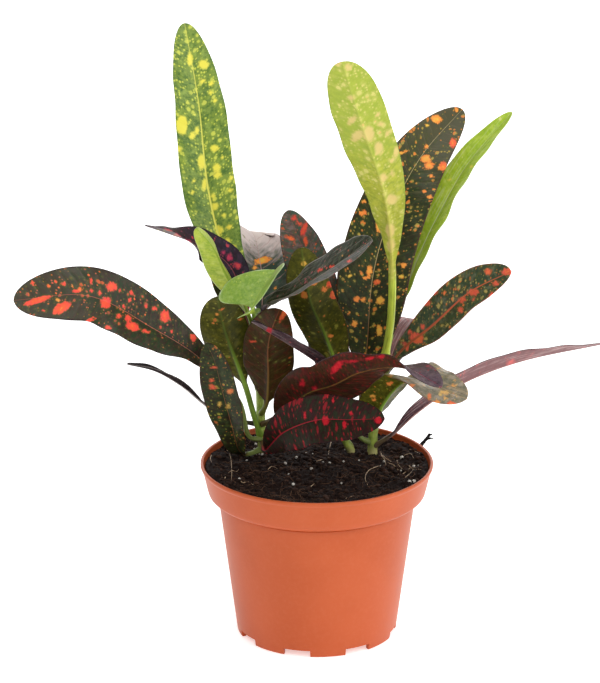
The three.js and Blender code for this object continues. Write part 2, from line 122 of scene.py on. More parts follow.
class Wire:
    """An output socket among a material's nodes. Sums on it add Math nodes."""

    def __init__(self, tree, socket):
        self.tree = tree
        self.socket = socket

    def node(self, kind, settings, sockets, out=0):
        """A new node in the same tree: its settings first, then values or links for its sockets."""
        made = self.tree.nodes.new(kind)
        for name, value in settings.items():
            if name == "stops":
                for number, (place, colour) in enumerate(value):
                    ramp = made.color_ramp.elements
                    stop = ramp[number] if number < len(ramp) else ramp.new(place)
                    stop.position = place
                    stop.color = colour
            else:
                setattr(made, name, value)
        for key, value in sockets.items():
            if isinstance(value, Wire):
                self.tree.links.new(value.socket, made.inputs[key])
            else:
                made.inputs[key].default_value = value
        return Wire(self.tree, made.outputs[out] if made.outputs else None)

    def output(self, out):
        """Another output of the same node."""
        return Wire(self.tree, self.socket.node.outputs[out])

    def stored(self, name, out):
        """What a mesh keeps on its points under a name: a vector is output 1, a number output 2."""
        return self.node("ShaderNodeAttribute", {"attribute_name": name}, {}, out)

    def maths(self, operation, *others):
        return self.node("ShaderNodeMath", {"operation": operation}, dict(enumerate((self, *others))))

    def __add__(self, other):
        return self.maths("ADD", other)

    def __sub__(self, other):
        return self.maths("SUBTRACT", other)

    def __rsub__(self, other):
        return self.maths("MULTIPLY_ADD", -1, other)

    def __mul__(self, other):
        return self.maths("MULTIPLY", other)

    __radd__ = __add__
    __rmul__ = __mul__

    def part(self, axis):
        """One number of a vector."""
        return self.node("ShaderNodeSeparateXYZ", {}, {0: self}, "XYZ".index(axis))

    def vector(self, x, y, z):
        return self.node("ShaderNodeCombineXYZ", {}, {0: x, 1: y, 2: z})

    def rise(self, start, end):
        """0 before start and 1 past end, smoothly; the other way round where end is the lower."""
        sockets = {"Value": self, "From Min": start, "From Max": end}
        return self.node("ShaderNodeMapRange", {"interpolation_type": "SMOOTHSTEP"}, sockets)

    def blend(self, below, above):
        """The colour below where this is 0 and the colour above where it is 1."""
        return self.node("ShaderNodeMix", {"data_type": "RGBA"}, {0: self, 6: below, 7: above}, 2)

    def cloud(self, scale, detail=2):
        """Soft noise from 0 to 1 at this place, with scale features a millimetre."""
        sockets = {"Vector": self, "Scale": scale, "Detail": detail}
        return self.node("ShaderNodeTexNoise", {}, sockets)


def colour(code):
    """The linear colour of six hex digits."""
    parts = [int(code[start:start + 2], 16) / 255 for start in (0, 2, 4)]
    linear = [((part + 0.055) / 1.055) ** 2.4 if part > 0.04 else part / 12.92 for part in parts]
    return (*linear, 1)


def new_finish(name):
    """A material with no nodes yet but the place on the object, in millimetres."""
    material = bpy.data.materials.new(name)
    material.use_nodes = True
    tree = material.node_tree
    tree.nodes.clear()
    metres = Wire(tree, tree.nodes.new("ShaderNodeTexCoord").outputs["Object"])
    place = metres.node("ShaderNodeVectorMath", {"operation": "SCALE"}, {0: metres, "Scale": 1000})
    return material, place


def close_finish(place, base, rough, height=None, **constants):
    """Joins colour, roughness and a height in millimetres to the surface, the rest set on sockets."""
    sockets = {"Base Color": base, "Roughness": rough}
    if height is not None:
        sockets["Normal"] = place.node("ShaderNodeBump", {}, {"Height": height, "Distance": 0.001})
    for name, value in constants.items():
        sockets[name.replace("_", " ")] = value
    shader = place.node("ShaderNodeBsdfPrincipled", {}, sockets)
    place.node("ShaderNodeOutputMaterial", {}, {"Surface": shader})


floor_finish, floor_place = new_finish("white_sweep")
floor_shade = floor_place.cloud(0.004).blend(colour("F8F8F8"), colour("FBFBFB"))
floor_glow = {"Emission_Color": (1, 1, 1, 1), "Emission_Strength": 0.5}
close_finish(floor_place, floor_shade, 0.9, **floor_glow)
floor_size = 12
floor_mesh = bpy.data.meshes.new("floor")
floor_corners = [(x * floor_size, y * floor_size, 0) for x, y in ((-1, -1), (1, -1), (1, 1), (-1, 1))]
floor_mesh.from_pydata(floor_corners, [], [(0, 1, 2, 3)])
floor_mesh.materials.append(floor_finish)
floor = placed("floor", floor_mesh)
floor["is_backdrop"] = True


# Pot: one injection-moulded shell of terracotta-coloured polypropylene, its wall 1.4 mm thick with a
# stepped band under the rolled rim, and a foot ring with eight notches round a floor of drain holes.
rim_radius = 60
pot_height = 92
foot_radius = 41.4
wall_top_radius = 51
band_foot_height = 74
wall_thickness = 1.4
groove_depth = 0.55
floor_height = 4.2
floor_thickness = 1.6
foot_ring_width = 2.6
corner_radius = 0.8
corner_steps = 4
axis_gap = 0.02
notch_count = 8
notch_size = (14, 12, 7.2)
notch_turn = -14.5
drain_hole_count = 6
drain_hole_radius = 4
drain_hole_circle = 27
drain_hole_depth = 8
pot_segments = 256
sharp_angle = math.radians(40)


def make_piece(name, points, faces, finishes, face_finish=None):
    """A smooth mesh piece that rides on the part, from points in millimetres."""
    mesh = bpy.data.meshes.new(name)
    mesh.from_pydata((np.asarray(points) / 1000).tolist(), [], faces)
    for finish in finishes:
        mesh.materials.append(finish)
    if face_finish is not None:
        mesh.polygons.foreach_set("material_index", face_finish)
    mesh.shade_smooth()
    piece = placed(name, mesh)
    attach(piece, "root")
    return piece


def ring_faces(rings, sides):
    """The faces that join rings of points, one after the other, and those that close the two ends."""
    faces = []
    for low in range(0, (rings - 1) * sides, sides):
        for step in range(sides):
            following = (step + 1) % sides
            faces.append((low + step, low + following, low + sides + following, low + sides + step))
    last = range((rings - 1) * sides, rings * sides)
    return faces + [tuple(range(sides))[::-1], tuple(last)]


def turned(profile, segments):
    """The rings of points of a profile of (radius, height) turned about the pot's axis."""
    angles = np.arange(segments) / segments * 2 * math.pi
    points = []
    for radius, height in profile:
        points.extend((radius * math.cos(a), radius * math.sin(a), height) for a in angles)
    return points


def rounded(profile, radius):
    """A profile with each corner that has room turned into a small arc."""
    corners = [np.array(corner, float) for corner in profile]
    smooth = [corners[0]]
    for before, corner, after in zip(corners, corners[1:], corners[2:]):
        back = np.linalg.norm(before - corner)
        ahead = np.linalg.norm(after - corner)
        reach = min(radius, back / 2.2, ahead / 2.2)
        start = corner + (before - corner) / back * reach
        end = corner + (after - corner) / ahead * reach
        for share in np.linspace(0, 1, corner_steps + 1):
            smooth.append(start * (1 - share) ** 2 + corner * 2 * share * (1 - share) + end * share ** 2)
    smooth.append(corners[-1])
    return smooth


def wall_radius(height):
    return foot_radius + (wall_top_radius - foot_radius) * height / band_foot_height


pot_profile = rounded([
    (axis_gap, floor_height),
    (foot_radius - foot_ring_width, floor_height),
    (foot_radius - foot_ring_width, 0),
    (foot_radius, 0),
    (wall_radius(20), 20),
    (wall_radius(45), 45),
    (wall_radius(band_foot_height - 1.2), band_foot_height - 1.2),
    (wall_top_radius - groove_depth, band_foot_height - 0.8),
    (wall_top_radius - groove_depth, band_foot_height),
    (wall_top_radius + 2.8, band_foot_height + 0.3),
    (wall_top_radius + 5, band_foot_height + 2.2),
    (wall_top_radius + 5.7, band_foot_height + 5),
    (rim_radius - 0.9, pot_height - 2.6),
    (rim_radius, pot_height - 1.6),
    (rim_radius, pot_height),
    (rim_radius - 1.5, pot_height),
    (rim_radius - 1.7, pot_height - 1.6),
    (wall_top_radius + 4, band_foot_height + 4.4),
    (wall_top_radius + 3, band_foot_height + 2.4),
    (wall_top_radius - 0.9, band_foot_height + 1.8),
    (wall_radius(band_foot_height) - wall_thickness, band_foot_height - 1),
    (wall_radius(40) - wall_thickness, 40),
    (wall_radius(floor_height) - wall_thickness, floor_height + floor_thickness),
    (axis_gap, floor_height + floor_thickness),
], corner_radius)


def cut_out(piece, cutter_shape):
    """Takes the bmesh's closed shapes out of the piece's mesh."""
    cutter_mesh = bpy.data.meshes.new("cutter")
    cutter_shape.to_mesh(cutter_mesh)
    cutter = placed("cutter", cutter_mesh)
    modifier = piece.modifiers.new("cut", "BOOLEAN")
    modifier.operation = "DIFFERENCE"
    modifier.solver = "EXACT"
    modifier.object = cutter
    evaluated = piece.evaluated_get(bpy.context.evaluated_depsgraph_get())
    piece.data = bpy.data.meshes.new_from_object(evaluated)
    piece.modifiers.clear()
    bpy.data.objects.remove(cutter)


def pot_finish():
    """Satin polypropylene: an even orange with slight clouding and a fine grain."""
    material, place = new_finish("terracotta_plastic")
    broad = place.cloud(0.025, 3)
    fine = place.cloud(0.5, 4)
    tone = broad.rise(0.3, 0.7).blend(colour("B65228"), colour("BE5930"))
    tone = (fine.rise(0.4, 0.8) * 0.25).blend(tone, colour("C26741"))
    grain = place.cloud(2.2, 2) * 0.012 + fine * 0.02
    rough = broad * 0.06 + fine * 0.06 + 0.36
    close_finish(place, tone, rough, grain, Specular_IOR_Level=0.22)
    return material


pot_faces = ring_faces(len(pot_profile), pot_segments)
pot = make_piece("pot_shell", turned(pot_profile, pot_segments), pot_faces, [pot_finish()])
cuts = bmesh.new()
for step in range(notch_count):
    angle = math.radians(notch_turn + step * 360 / notch_count)
    made = bmesh.ops.create_cube(cuts, size=0.001)
    bmesh.ops.scale(cuts, verts=made["verts"], vec=notch_size)
    bmesh.ops.translate(cuts, verts=made["verts"], vec=(0, -foot_radius / 1000, 0))
    bmesh.ops.rotate(cuts, verts=made["verts"], cent=(0, 0, 0), matrix=Matrix.Rotation(angle, 3, "Z"))
for step in range(drain_hole_count):
    turn = Matrix.Rotation(math.radians(step * 360 / drain_hole_count), 4, "Z")
    place = Matrix.Translation((0, -drain_hole_circle / 1000, floor_height / 1000))
    bmesh.ops.create_cone(
        cuts, cap_ends=True, segments=40, radius1=drain_hole_radius / 1000,
        radius2=drain_hole_radius / 1000, depth=drain_hole_depth / 1000, matrix=turn @ place)
cut_out(pot, cuts)
cuts.free()
pot.data.set_sharp_from_angle(angle=sharp_angle)
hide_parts("pot")


# Soil: fibrous peat potting mix that fills the pot to just under the rim, mounded among the stems. Its
# surface has crumbs, brown fibres, white perlite grains and cream roots. A dark twig is at the rim.
soil_rim_height = 87
soil_mound = 2.4
soil_bank = 2.6
bank_start = 44
bank_width = 10
soil_top_radius = 57.4
soil_side = [
    (axis_gap, floor_height + 1.9),
    (38, floor_height + 1.9),
    (wall_radius(9.1) - 1.7, 9.1),
    (wall_radius(band_foot_height) - 1.7, band_foot_height),
    (wall_top_radius - 1.2, band_foot_height + 2.2),
    (wall_top_radius + 2.5, band_foot_height + 2.8),
    (wall_top_radius + 3.4, band_foot_height + 4.6),
    (wall_top_radius + 5.4, band_foot_height + 11.5),
]
soil_segments = 256
soil_rings = 64
crumb_count = 2300
crumb_reach = 57
fibre_count = 900
fibre_reach = 54
grain_count = 26
grain_reach = 53
fibre_bits = 7
root_points = 24
curve_steps = 60
perlite_pixels = [
    (311.4, 469.5, 0.75), (402, 458.6, 1.05), (413.8, 467, 0.8), (409.4, 483, 1.1), (413.8, 482.2, 1),
    (293.4, 485, 0.8), (239.5, 479.7, 0.7), (306.3, 454, 0.6), (323, 462.5, 0.45), (341.6, 484, 0.55),
    (358.8, 461, 0.5), (288.8, 473.8, 0.6), (401, 470.5, 0.5),
]
root_pixels = [
    [(225.5, 448.4), (229.7, 454.7), (231.7, 470.3), (231.3, 483)],
    [(224.7, 478.9), (228.6, 473.4), (232.5, 471.4), (236.4, 470.3), (238.8, 468.4)],
    [(241, 482), (243, 484.5), (248, 484), (255, 484.2)],
    [(211.4, 456), (210.4, 459), (211.5, 463)],
    [(331, 443), (329, 450), (327.8, 459.4)],
    [(314.5, 462.5), (318, 462), (323, 460)],
    [(307.5, 489.8), (311.4, 486.7), (316, 482.8)],
    [(379.4, 466.4), (370, 470.3), (366, 475), (365.3, 479.7), (367.7, 486)],
    [(381, 452), (381.5, 456), (384.5, 461), (386, 466)],
    [(382.5, 456), (387, 460), (393.4, 462.5), (394.2, 457)],
    [(388, 463.5), (394, 466), (399, 470), (398, 475)],
    [(397, 461), (399, 466), (403, 470), (409, 472)],
    [(401, 476), (406, 471), (411, 468), (416, 469)],
    [(405, 478), (410, 474), (413, 470), (413, 464)],
    [(409, 466), (413, 470), (418, 472), (421, 471)],
    [(409.8, 450), (415.3, 451.6), (420, 454)],
    [(404, 453), (410, 455), (414, 459)],
    [(345.8, 499), (349, 497.5), (352, 496.9)],
    [(268, 470), (272, 468), (277, 468.5)],
]
twig_pixels = [(419.5, 447.5), (422.6, 444), (425.6, 440), (427.6, 437.2), (429.5, 434.5)]
twig_fork_pixels = [
    [(426.4, 439), (429.8, 438.4), (433, 438)],
    [(428.6, 435.6), (430.6, 434.4), (432, 434.8)],
]
twig_lean = 0.8
twig_roughness = 0.25


def eased(share):
    share = np.clip(share, 0, 1)
    return share * share * (3 - 2 * share)


def soil_height(x, y):
    """The surface without its crumbs: the packed soil's, but up to 2 mm higher towards the wall."""
    dome = soil_rim_height + soil_mound * (1 - (x * x + y * y) / soil_top_radius ** 2)
    dome = dome + soil_bank * eased((np.hypot(x, y) - bank_start) / bank_width)
    lumps = np.sin(x * 0.31 + 1.3) * np.cos(y * 0.27 - 0.4)
    crumbs = np.sin(x * 0.83 - y * 0.41) * np.cos(y * 0.9 + x * 0.22)
    return dome + 0.8 * lumps + 0.5 * crumbs


def on_soil(x, y):
    """The height of the crumbled surface."""
    rough = noise.fractal(Vector((x * 0.32, y * 0.32, 3)), 0.8, 2.1, 5) * 0.7
    return float(soil_height(x, y)) + rough


def seen_on_soil(column, row):
    """The point of the soil that the camera sees at a pixel of the photograph."""
    ray = camera_forward * focal_pixels + camera_up * (photo_height / 2 - row)
    ray = ray + np.array([column - photo_width / 2, 0, 0])
    height = soil_rim_height
    for step in range(6):
        place = camera_place + ray * (height - camera_place[2]) / ray[2]
        height = on_soil(place[0], place[1])
    return np.array([place[0], place[1], height])


def smooth_path(points, count):
    """Evenly spaced points along a centripetal curve through the given ones."""
    points = np.array(points, float)
    points = np.vstack([2 * points[0] - points[1], points, 2 * points[-1] - points[-2]])
    dense = []
    for p0, p1, p2, p3 in zip(points, points[1:], points[2:], points[3:]):
        d0, d1, d2 = (np.linalg.norm(b - a) ** 0.5 for a, b in ((p0, p1), (p1, p2), (p2, p3)))
        start = ((p1 - p0) / d0 - (p2 - p0) / (d0 + d1)) * d1 + (p2 - p1)
        end = (p2 - p1) + ((p3 - p2) / d2 - (p3 - p1) / (d1 + d2)) * d1
        t = np.linspace(0, 1, curve_steps, endpoint=False)[:, None]
        bend = -3 * p1 + 3 * p2 - 2 * start - end
        dense.append(p1 + start * t + bend * t ** 2 + (2 * p1 - 2 * p2 + start + end) * t ** 3)
    dense = np.vstack([*dense, points[-2]])
    steps = np.linalg.norm(np.diff(dense, axis=0), axis=1)
    travelled = np.concatenate([[0], np.cumsum(steps)])
    wanted = np.linspace(0, travelled[-1], count) if np.isscalar(count) else count * travelled[-1]
    return np.stack([np.interp(wanted, travelled, dense[:, axis]) for axis in range(3)], axis=1)


def headings(path):
    """The unit direction at each point of a path."""
    steps = np.gradient(path, axis=0)
    return steps / np.linalg.norm(steps, axis=1)[:, None]


def tube(path, radii, sides):
    """Rings of points round a path, and their faces."""
    directions = headings(path)
    side = np.cross(directions[0], (0.3, 0.2, 0.93))
    points = []
    for centre, direction, radius in zip(path, directions, radii):
        side = side - direction * side.dot(direction)
        side = side / np.linalg.norm(side)
        front = np.cross(direction, side)
        for step in range(sides):
            angle = step / sides * 2 * math.pi
            points.append(centre + radius * (side * math.cos(angle) + front * math.sin(angle)))
    return np.array(points), ring_faces(len(path), sides)


def gathered(shapes):
    """Several (points, faces) as one."""
    points = np.vstack([shape[0] for shape in shapes])
    faces = []
    start = 0
    for shape_points, shape_faces in shapes:
        faces.extend([start + corner for corner in face] for face in shape_faces)
        start += len(shape_points)
    return points, faces


def ball(rounds):
    """The points and faces of a round lump of radius 1."""
    shape = bmesh.new()
    bmesh.ops.create_icosphere(shape, subdivisions=rounds, radius=1)
    points = np.array([corner.co[:] for corner in shape.verts])
    faces = [tuple(corner.index for corner in face.verts) for face in shape.faces]
    shape.free()
    return points, faces


def tone_each(piece, shapes, tones):
    """Keeps one number a shape, for its colour, on each of its points."""
    values = np.concatenate([np.full(len(shape[0]), tone) for shape, tone in zip(shapes, tones)])
    piece.data.attributes.new("tone", "FLOAT", "POINT").data.foreach_set("value", values)


def peat_finish(name, dark, light, rough):
    """Matt moist peat: its own tone on each crumb or fibre over fine mottling."""
    material, place = new_finish(name)
    tone = place.stored("tone", 2)
    mottle = place.cloud(1.6, 4)
    base = (tone * 0.75 + mottle * 0.5 - 0.2).blend(dark, light)
    height = place.cloud(3.1, 3) * 0.14
    close_finish(place, base, mottle * 0.15 + rough, height, Specular_IOR_Level=0.1)
    return material


soil_points = turned(soil_side, soil_segments)
soil_surface = [(soil_top_radius * (1 - ring / soil_rings), 0) for ring in range(soil_rings)]
soil_points += [(x, y, on_soil(x, y)) for x, y, height in turned(soil_surface, soil_segments)]
soil_faces = ring_faces(len(soil_side) + soil_rings, soil_segments)
peat = peat_finish("peat", colour("170D0B"), colour("4A342A"), 0.72)
soil = make_piece("soil_mass", soil_points, soil_faces, [peat])
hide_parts("soil")


def random_place(reach, widest_turn=2 * math.pi):
    """An evenly drawn place within a circle, or part of one, about the pot's axis."""
    radius = reach * math.sqrt(random.random())
    turn = random.uniform(0, widest_turn)
    return radius * math.cos(turn), radius * math.sin(turn)


random.seed(11)
noise.seed_set(11)
lump_points, lump_faces = ball(2)
crumbs = []
for step in range(crumb_count):
    x, y = random_place(crumb_reach)
    size = 0.3 + 1.1 * random.random() ** 3
    if math.hypot(x, y) + size > crumb_reach + 0.3:
        continue
    stretch = np.array([random.uniform(0.7, 1.4), random.uniform(0.7, 1.4), random.uniform(0.5, 0.9)])
    shift = Vector((step, 0, 0))
    bumps = np.array([1 + 0.35 * noise.noise(Vector(corner) * 1.7 + shift) for corner in lump_points])
    centre = np.array([x, y, on_soil(x, y) + size * 0.15])
    crumbs.append((centre + lump_points * bumps[:, None] * stretch * size, lump_faces))
crumb_piece = make_piece("soil_crumbs", *gathered(crumbs), [peat])
tone_each(crumb_piece, crumbs, [random.random() ** 2 for crumb in crumbs])

fibres = []
for step in range(fibre_count):
    place = np.array(random_place(fibre_reach))
    heading = random.uniform(0, 2 * math.pi)
    path = []
    for bit in range(fibre_bits):
        if np.hypot(*place) < fibre_reach + 1.2:
            lift = 0.15 + 0.5 * random.random() ** 2
            path.append((*place, on_soil(*place) + lift))
        heading += random.uniform(-0.7, 0.7)
        place = place + np.array([math.cos(heading), math.sin(heading)]) * random.uniform(0.5, 1.7)
    if len(path) > 3:
        thick = random.uniform(0.05, 0.15)
        fibres.append(tube(np.array(path), [thick] * len(path), 4))
fibre_finish = peat_finish("peat_fibre", colour("2A1C16"), colour("7A5A46"), 0.7)
fibre_piece = make_piece("soil_fibres", *gathered(fibres), [fibre_finish])
tone_each(fibre_piece, fibres, [random.random() ** 2 for fibre in fibres])

grains = []
grain_points, grain_faces = ball(3)
scattered = []
for step in range(grain_count):
    place = random_place(grain_reach, math.pi)
    scattered.append((np.array([*place, on_soil(*place)]), random.uniform(0.3, 0.9)))
for centre, size in [(seen_on_soil(x, y), size) for x, y, size in perlite_pixels] + scattered:
    shift = Vector(centre)
    bumps = np.array([1 + 0.3 * noise.noise(Vector(corner) * 1.6 + shift) for corner in grain_points])
    bumps += np.array([0.1 * noise.noise(Vector(corner) * 5 + shift) for corner in grain_points])
    grains.append((centre + (0, 0, size * 0.45) + grain_points * bumps[:, None] * size, grain_faces))
perlite_finish, perlite_place = new_finish("perlite")
perlite_pores = perlite_place.cloud(2.4, 3)
perlite_tone = perlite_pores.rise(0.3, 0.6).blend(colour("8F877B"), colour("E9E4DA"))
close_finish(perlite_place, perlite_tone, 0.85, perlite_pores * 0.2)
perlite = make_piece("perlite_grains", *gathered(grains), [perlite_finish])

roots = []
for pixels in root_pixels:
    laid = [seen_on_soil(x, y) + (0, 0, 0.35) for x, y in pixels]
    thick = random.uniform(0.16, 0.26) * (1 - 0.6 * np.linspace(0, 1, root_points) ** 2)
    roots.append(tube(smooth_path(laid, root_points), thick, 6))
root_finish, root_place = new_finish("root_cream")
root_tone = root_place.cloud(0.9, 3).rise(0.3, 0.7).blend(colour("8A6A4E"), colour("D2B795"))
close_finish(root_place, root_tone, 0.6, root_place.cloud(3, 2) * 0.04)
root_piece = make_piece("fine_roots", *gathered(roots), [root_finish])


def twig_place(column, row):
    """The point of the twig at a pixel, in a slanted plane that starts just outside the rim."""
    foot = seen_on_soil(*twig_pixels[0])
    ray = seen_on_soil(column, row) - camera_place
    plane = np.array([-twig_lean, 0, 1])
    return camera_place + ray * plane.dot(foot - camera_place) / plane.dot(ray)


def twig_bit(pixels, count, thick, thin, sides):
    """A tapering tube through pixels of the twig, from its radius at the start to that at the end."""
    line = smooth_path([twig_place(*at) for at in pixels], count)
    return tube(line, np.linspace(thick, thin, count), sides)


twig_shapes = [twig_bit(twig_pixels, count=18, thick=1.1, thin=0.75, sides=9)]
for fork in twig_fork_pixels:
    twig_shapes.append(twig_bit(fork, count=10, thick=0.7, thin=0.3, sides=7))
twig_points, twig_faces = gathered(twig_shapes)
rough = [noise.noise_vector(Vector(corner) * 0.9) for corner in twig_points]
twig_points += np.array(rough) * twig_roughness
twig_finish = peat_finish("twig_bark", colour("120C0B"), colour("3A2A24"), 0.65)
twig = make_piece("twig", twig_points, twig_faces, [twig_finish])


# Stems: three rooted cuttings, fleshy and green, straw-coloured where they leave the soil, with low
# rings like those of leaf scars. The leaf stalks grow out of them.
stem_sides = 28
stem_rows = 90
scar_rings = 5.5
scar_height = 0.25
stem_finish, stem_place = new_finish("stem_green")
drawn_out = {0: stem_place, 1: (1, 1, 0.12)}
stem_long = stem_place.node("ShaderNodeVectorMath", {"operation": "MULTIPLY"}, drawn_out)
stem_lines = stem_long.cloud(1.4, 3)
stem_mottle = stem_place.cloud(0.35, 3)
stem_low = (stem_place.part("Z") + stem_mottle * 5).rise(98, 90)
stem_tone = stem_mottle.rise(0.3, 0.7).blend(colour("768E30"), colour("A2B448"))
stem_tone = (stem_lines.rise(0.45, 0.75) * 0.5).blend(stem_tone, colour("B3C573"))
stem_tone = (stem_low * 0.8).blend(stem_tone, colour("B9A878"))
close_finish(stem_place, stem_tone, stem_lines * 0.15 + 0.36, stem_lines * 0.1)


def grow_stem(name, base_radius, tip_radius, path):
    share = np.linspace(0, 1, stem_rows)
    rings = np.abs(np.sin(share * math.pi * scar_rings)) ** 14
    radii = base_radius + (tip_radius - base_radius) * share + scar_height * rings
    points, faces = tube(smooth_path(path, stem_rows), radii, stem_sides)
    stem = make_piece(name + "_grown", points, faces, [stem_finish])
    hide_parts(name)


grow_stem("stem_left", 2.6, 1.7, [(-28, 22, 68), (-28, 22, 89), (-29, 23, 106), (-30, 24, 134),
                                  (-31, 23, 160)])
grow_stem("stem_middle", 2.4, 1.8, [(20, 22, 68), (18, 22, 89), (14, 21, 98), (12, 21, 109), (12, 22, 121)])
grow_stem("stem_right", 2.8, 1.9, [(29, 21, 68), (29, 21, 89), (30, 22, 107), (33, 23, 124), (35, 22, 142)])


# Speckled leaves: the tall one at the left, green with yellow spots, and the yellow-green one at the
# right, which shows its underside. Each is one blade on its stalk, with a midrib raised below.
cross_stations = np.array([0, 0.03, 0.07, 0.13, 0.2, 0.3, 0.41, 0.53, 0.65, 0.77, 0.88, 0.96, 1])
cross_stations = np.concatenate([-cross_stations[:0:-1], cross_stations])
half_thickness = 0.22
margin_thinning = 0.55
rib_groove = 0.2
rib_height = 0.85
tip_half_width = 0.3
stalk_row_gap = 1.6
blade_row_gap = 1.15
length_steps = 400
heading_steps = 600
vein_gap = 5.4
pixel_size = 0.51
longest_spot = 12
past_all_spots = 9.0


def staged(stages, along):
    """What each place of the blade has, eased between values given at even stages."""
    stages = np.array(stages, float)
    if len(stages) == 1:
        return np.repeat(stages, len(along), axis=0)
    place = along * (len(stages) - 1)
    first = np.clip(place.astype(int), 0, len(stages) - 2)
    share = eased(place - first)
    if stages.ndim > 1:
        share = share[:, None]
    return stages[first] * (1 - share) + stages[first + 1] * share


def blade_outline(shape, along):
    """The share of the full half width: a sine to the widest place, then a rounded end."""
    widest, taper, roundness = shape
    rising = np.sin(math.pi / 2 * np.clip(along / widest, 0, 1)) ** taper
    beyond = np.clip((along - widest) / (1 - widest), 0, 1)
    return np.where(along < widest, rising, np.sqrt(1 - beyond ** roundness))


def unit(vectors):
    return vectors / np.linalg.norm(vectors, axis=-1, keepdims=True)


def spot_field(points, x, y, spots, usual_tint):
    """How far each place of a blade lies outside its nearest spot, in millimetres, and that spot's tint.
    A spot is given as the camera sees it and laid on the blade from there: column, row, width and height
    in the photograph's pixels, then its tint from 0, yellow, to 1, red, where that isn't the leaf's usual
    one, and the turn of its width in degrees."""
    seen = points - camera_place
    depth = seen @ camera_forward
    column = photo_width / 2 + focal_pixels * seen[..., 0] / depth
    row = photo_height / 2 - focal_pixels * (seen @ camera_up) / depth
    image = np.stack([column, row], axis=2)
    by_x = np.gradient(image, axis=1) / np.gradient(x, axis=1)[..., None]
    along_rows = np.gradient(image, axis=0) - by_x * np.gradient(x, axis=0)[..., None]
    by_y = along_rows / np.gradient(y, axis=0)[..., None]
    nearest = np.full(x.shape, past_all_spots)
    tints = np.zeros(x.shape)
    for at_column, at_row, wide, high, *others in spots:
        tint = others[0] if others else usual_tint
        away = np.hypot(column - at_column, row - at_row)
        score = np.maximum(away, 2.5) * 50 + depth + np.where(y < 1, 1e6, 0)
        centre = np.unravel_index(score.argmin(), score.shape)
        lean = math.radians(others[1]) if len(others) > 1 else 0
        to_spot = np.array([[math.cos(lean) * 2 / wide, math.sin(lean) * 2 / wide],
                            [-math.sin(lean) * 2 / high, math.cos(lean) * 2 / high]])
        stretch = to_spot @ np.stack([by_x[centre], by_y[centre]], axis=1)
        offset = np.stack([x - x[centre], y - y[centre]], axis=-1)
        too_long = (offset ** 2).sum(-1) / longest_spot ** 2
        reach = np.sqrt(((offset @ stretch.T) ** 2).sum(-1) + too_long)
        beyond = (reach - 1) * math.sqrt(wide * high) / 2 * pixel_size
        tints = np.where(beyond < nearest, tint, tints)
        nearest = np.minimum(nearest, beyond)
    return nearest, tints


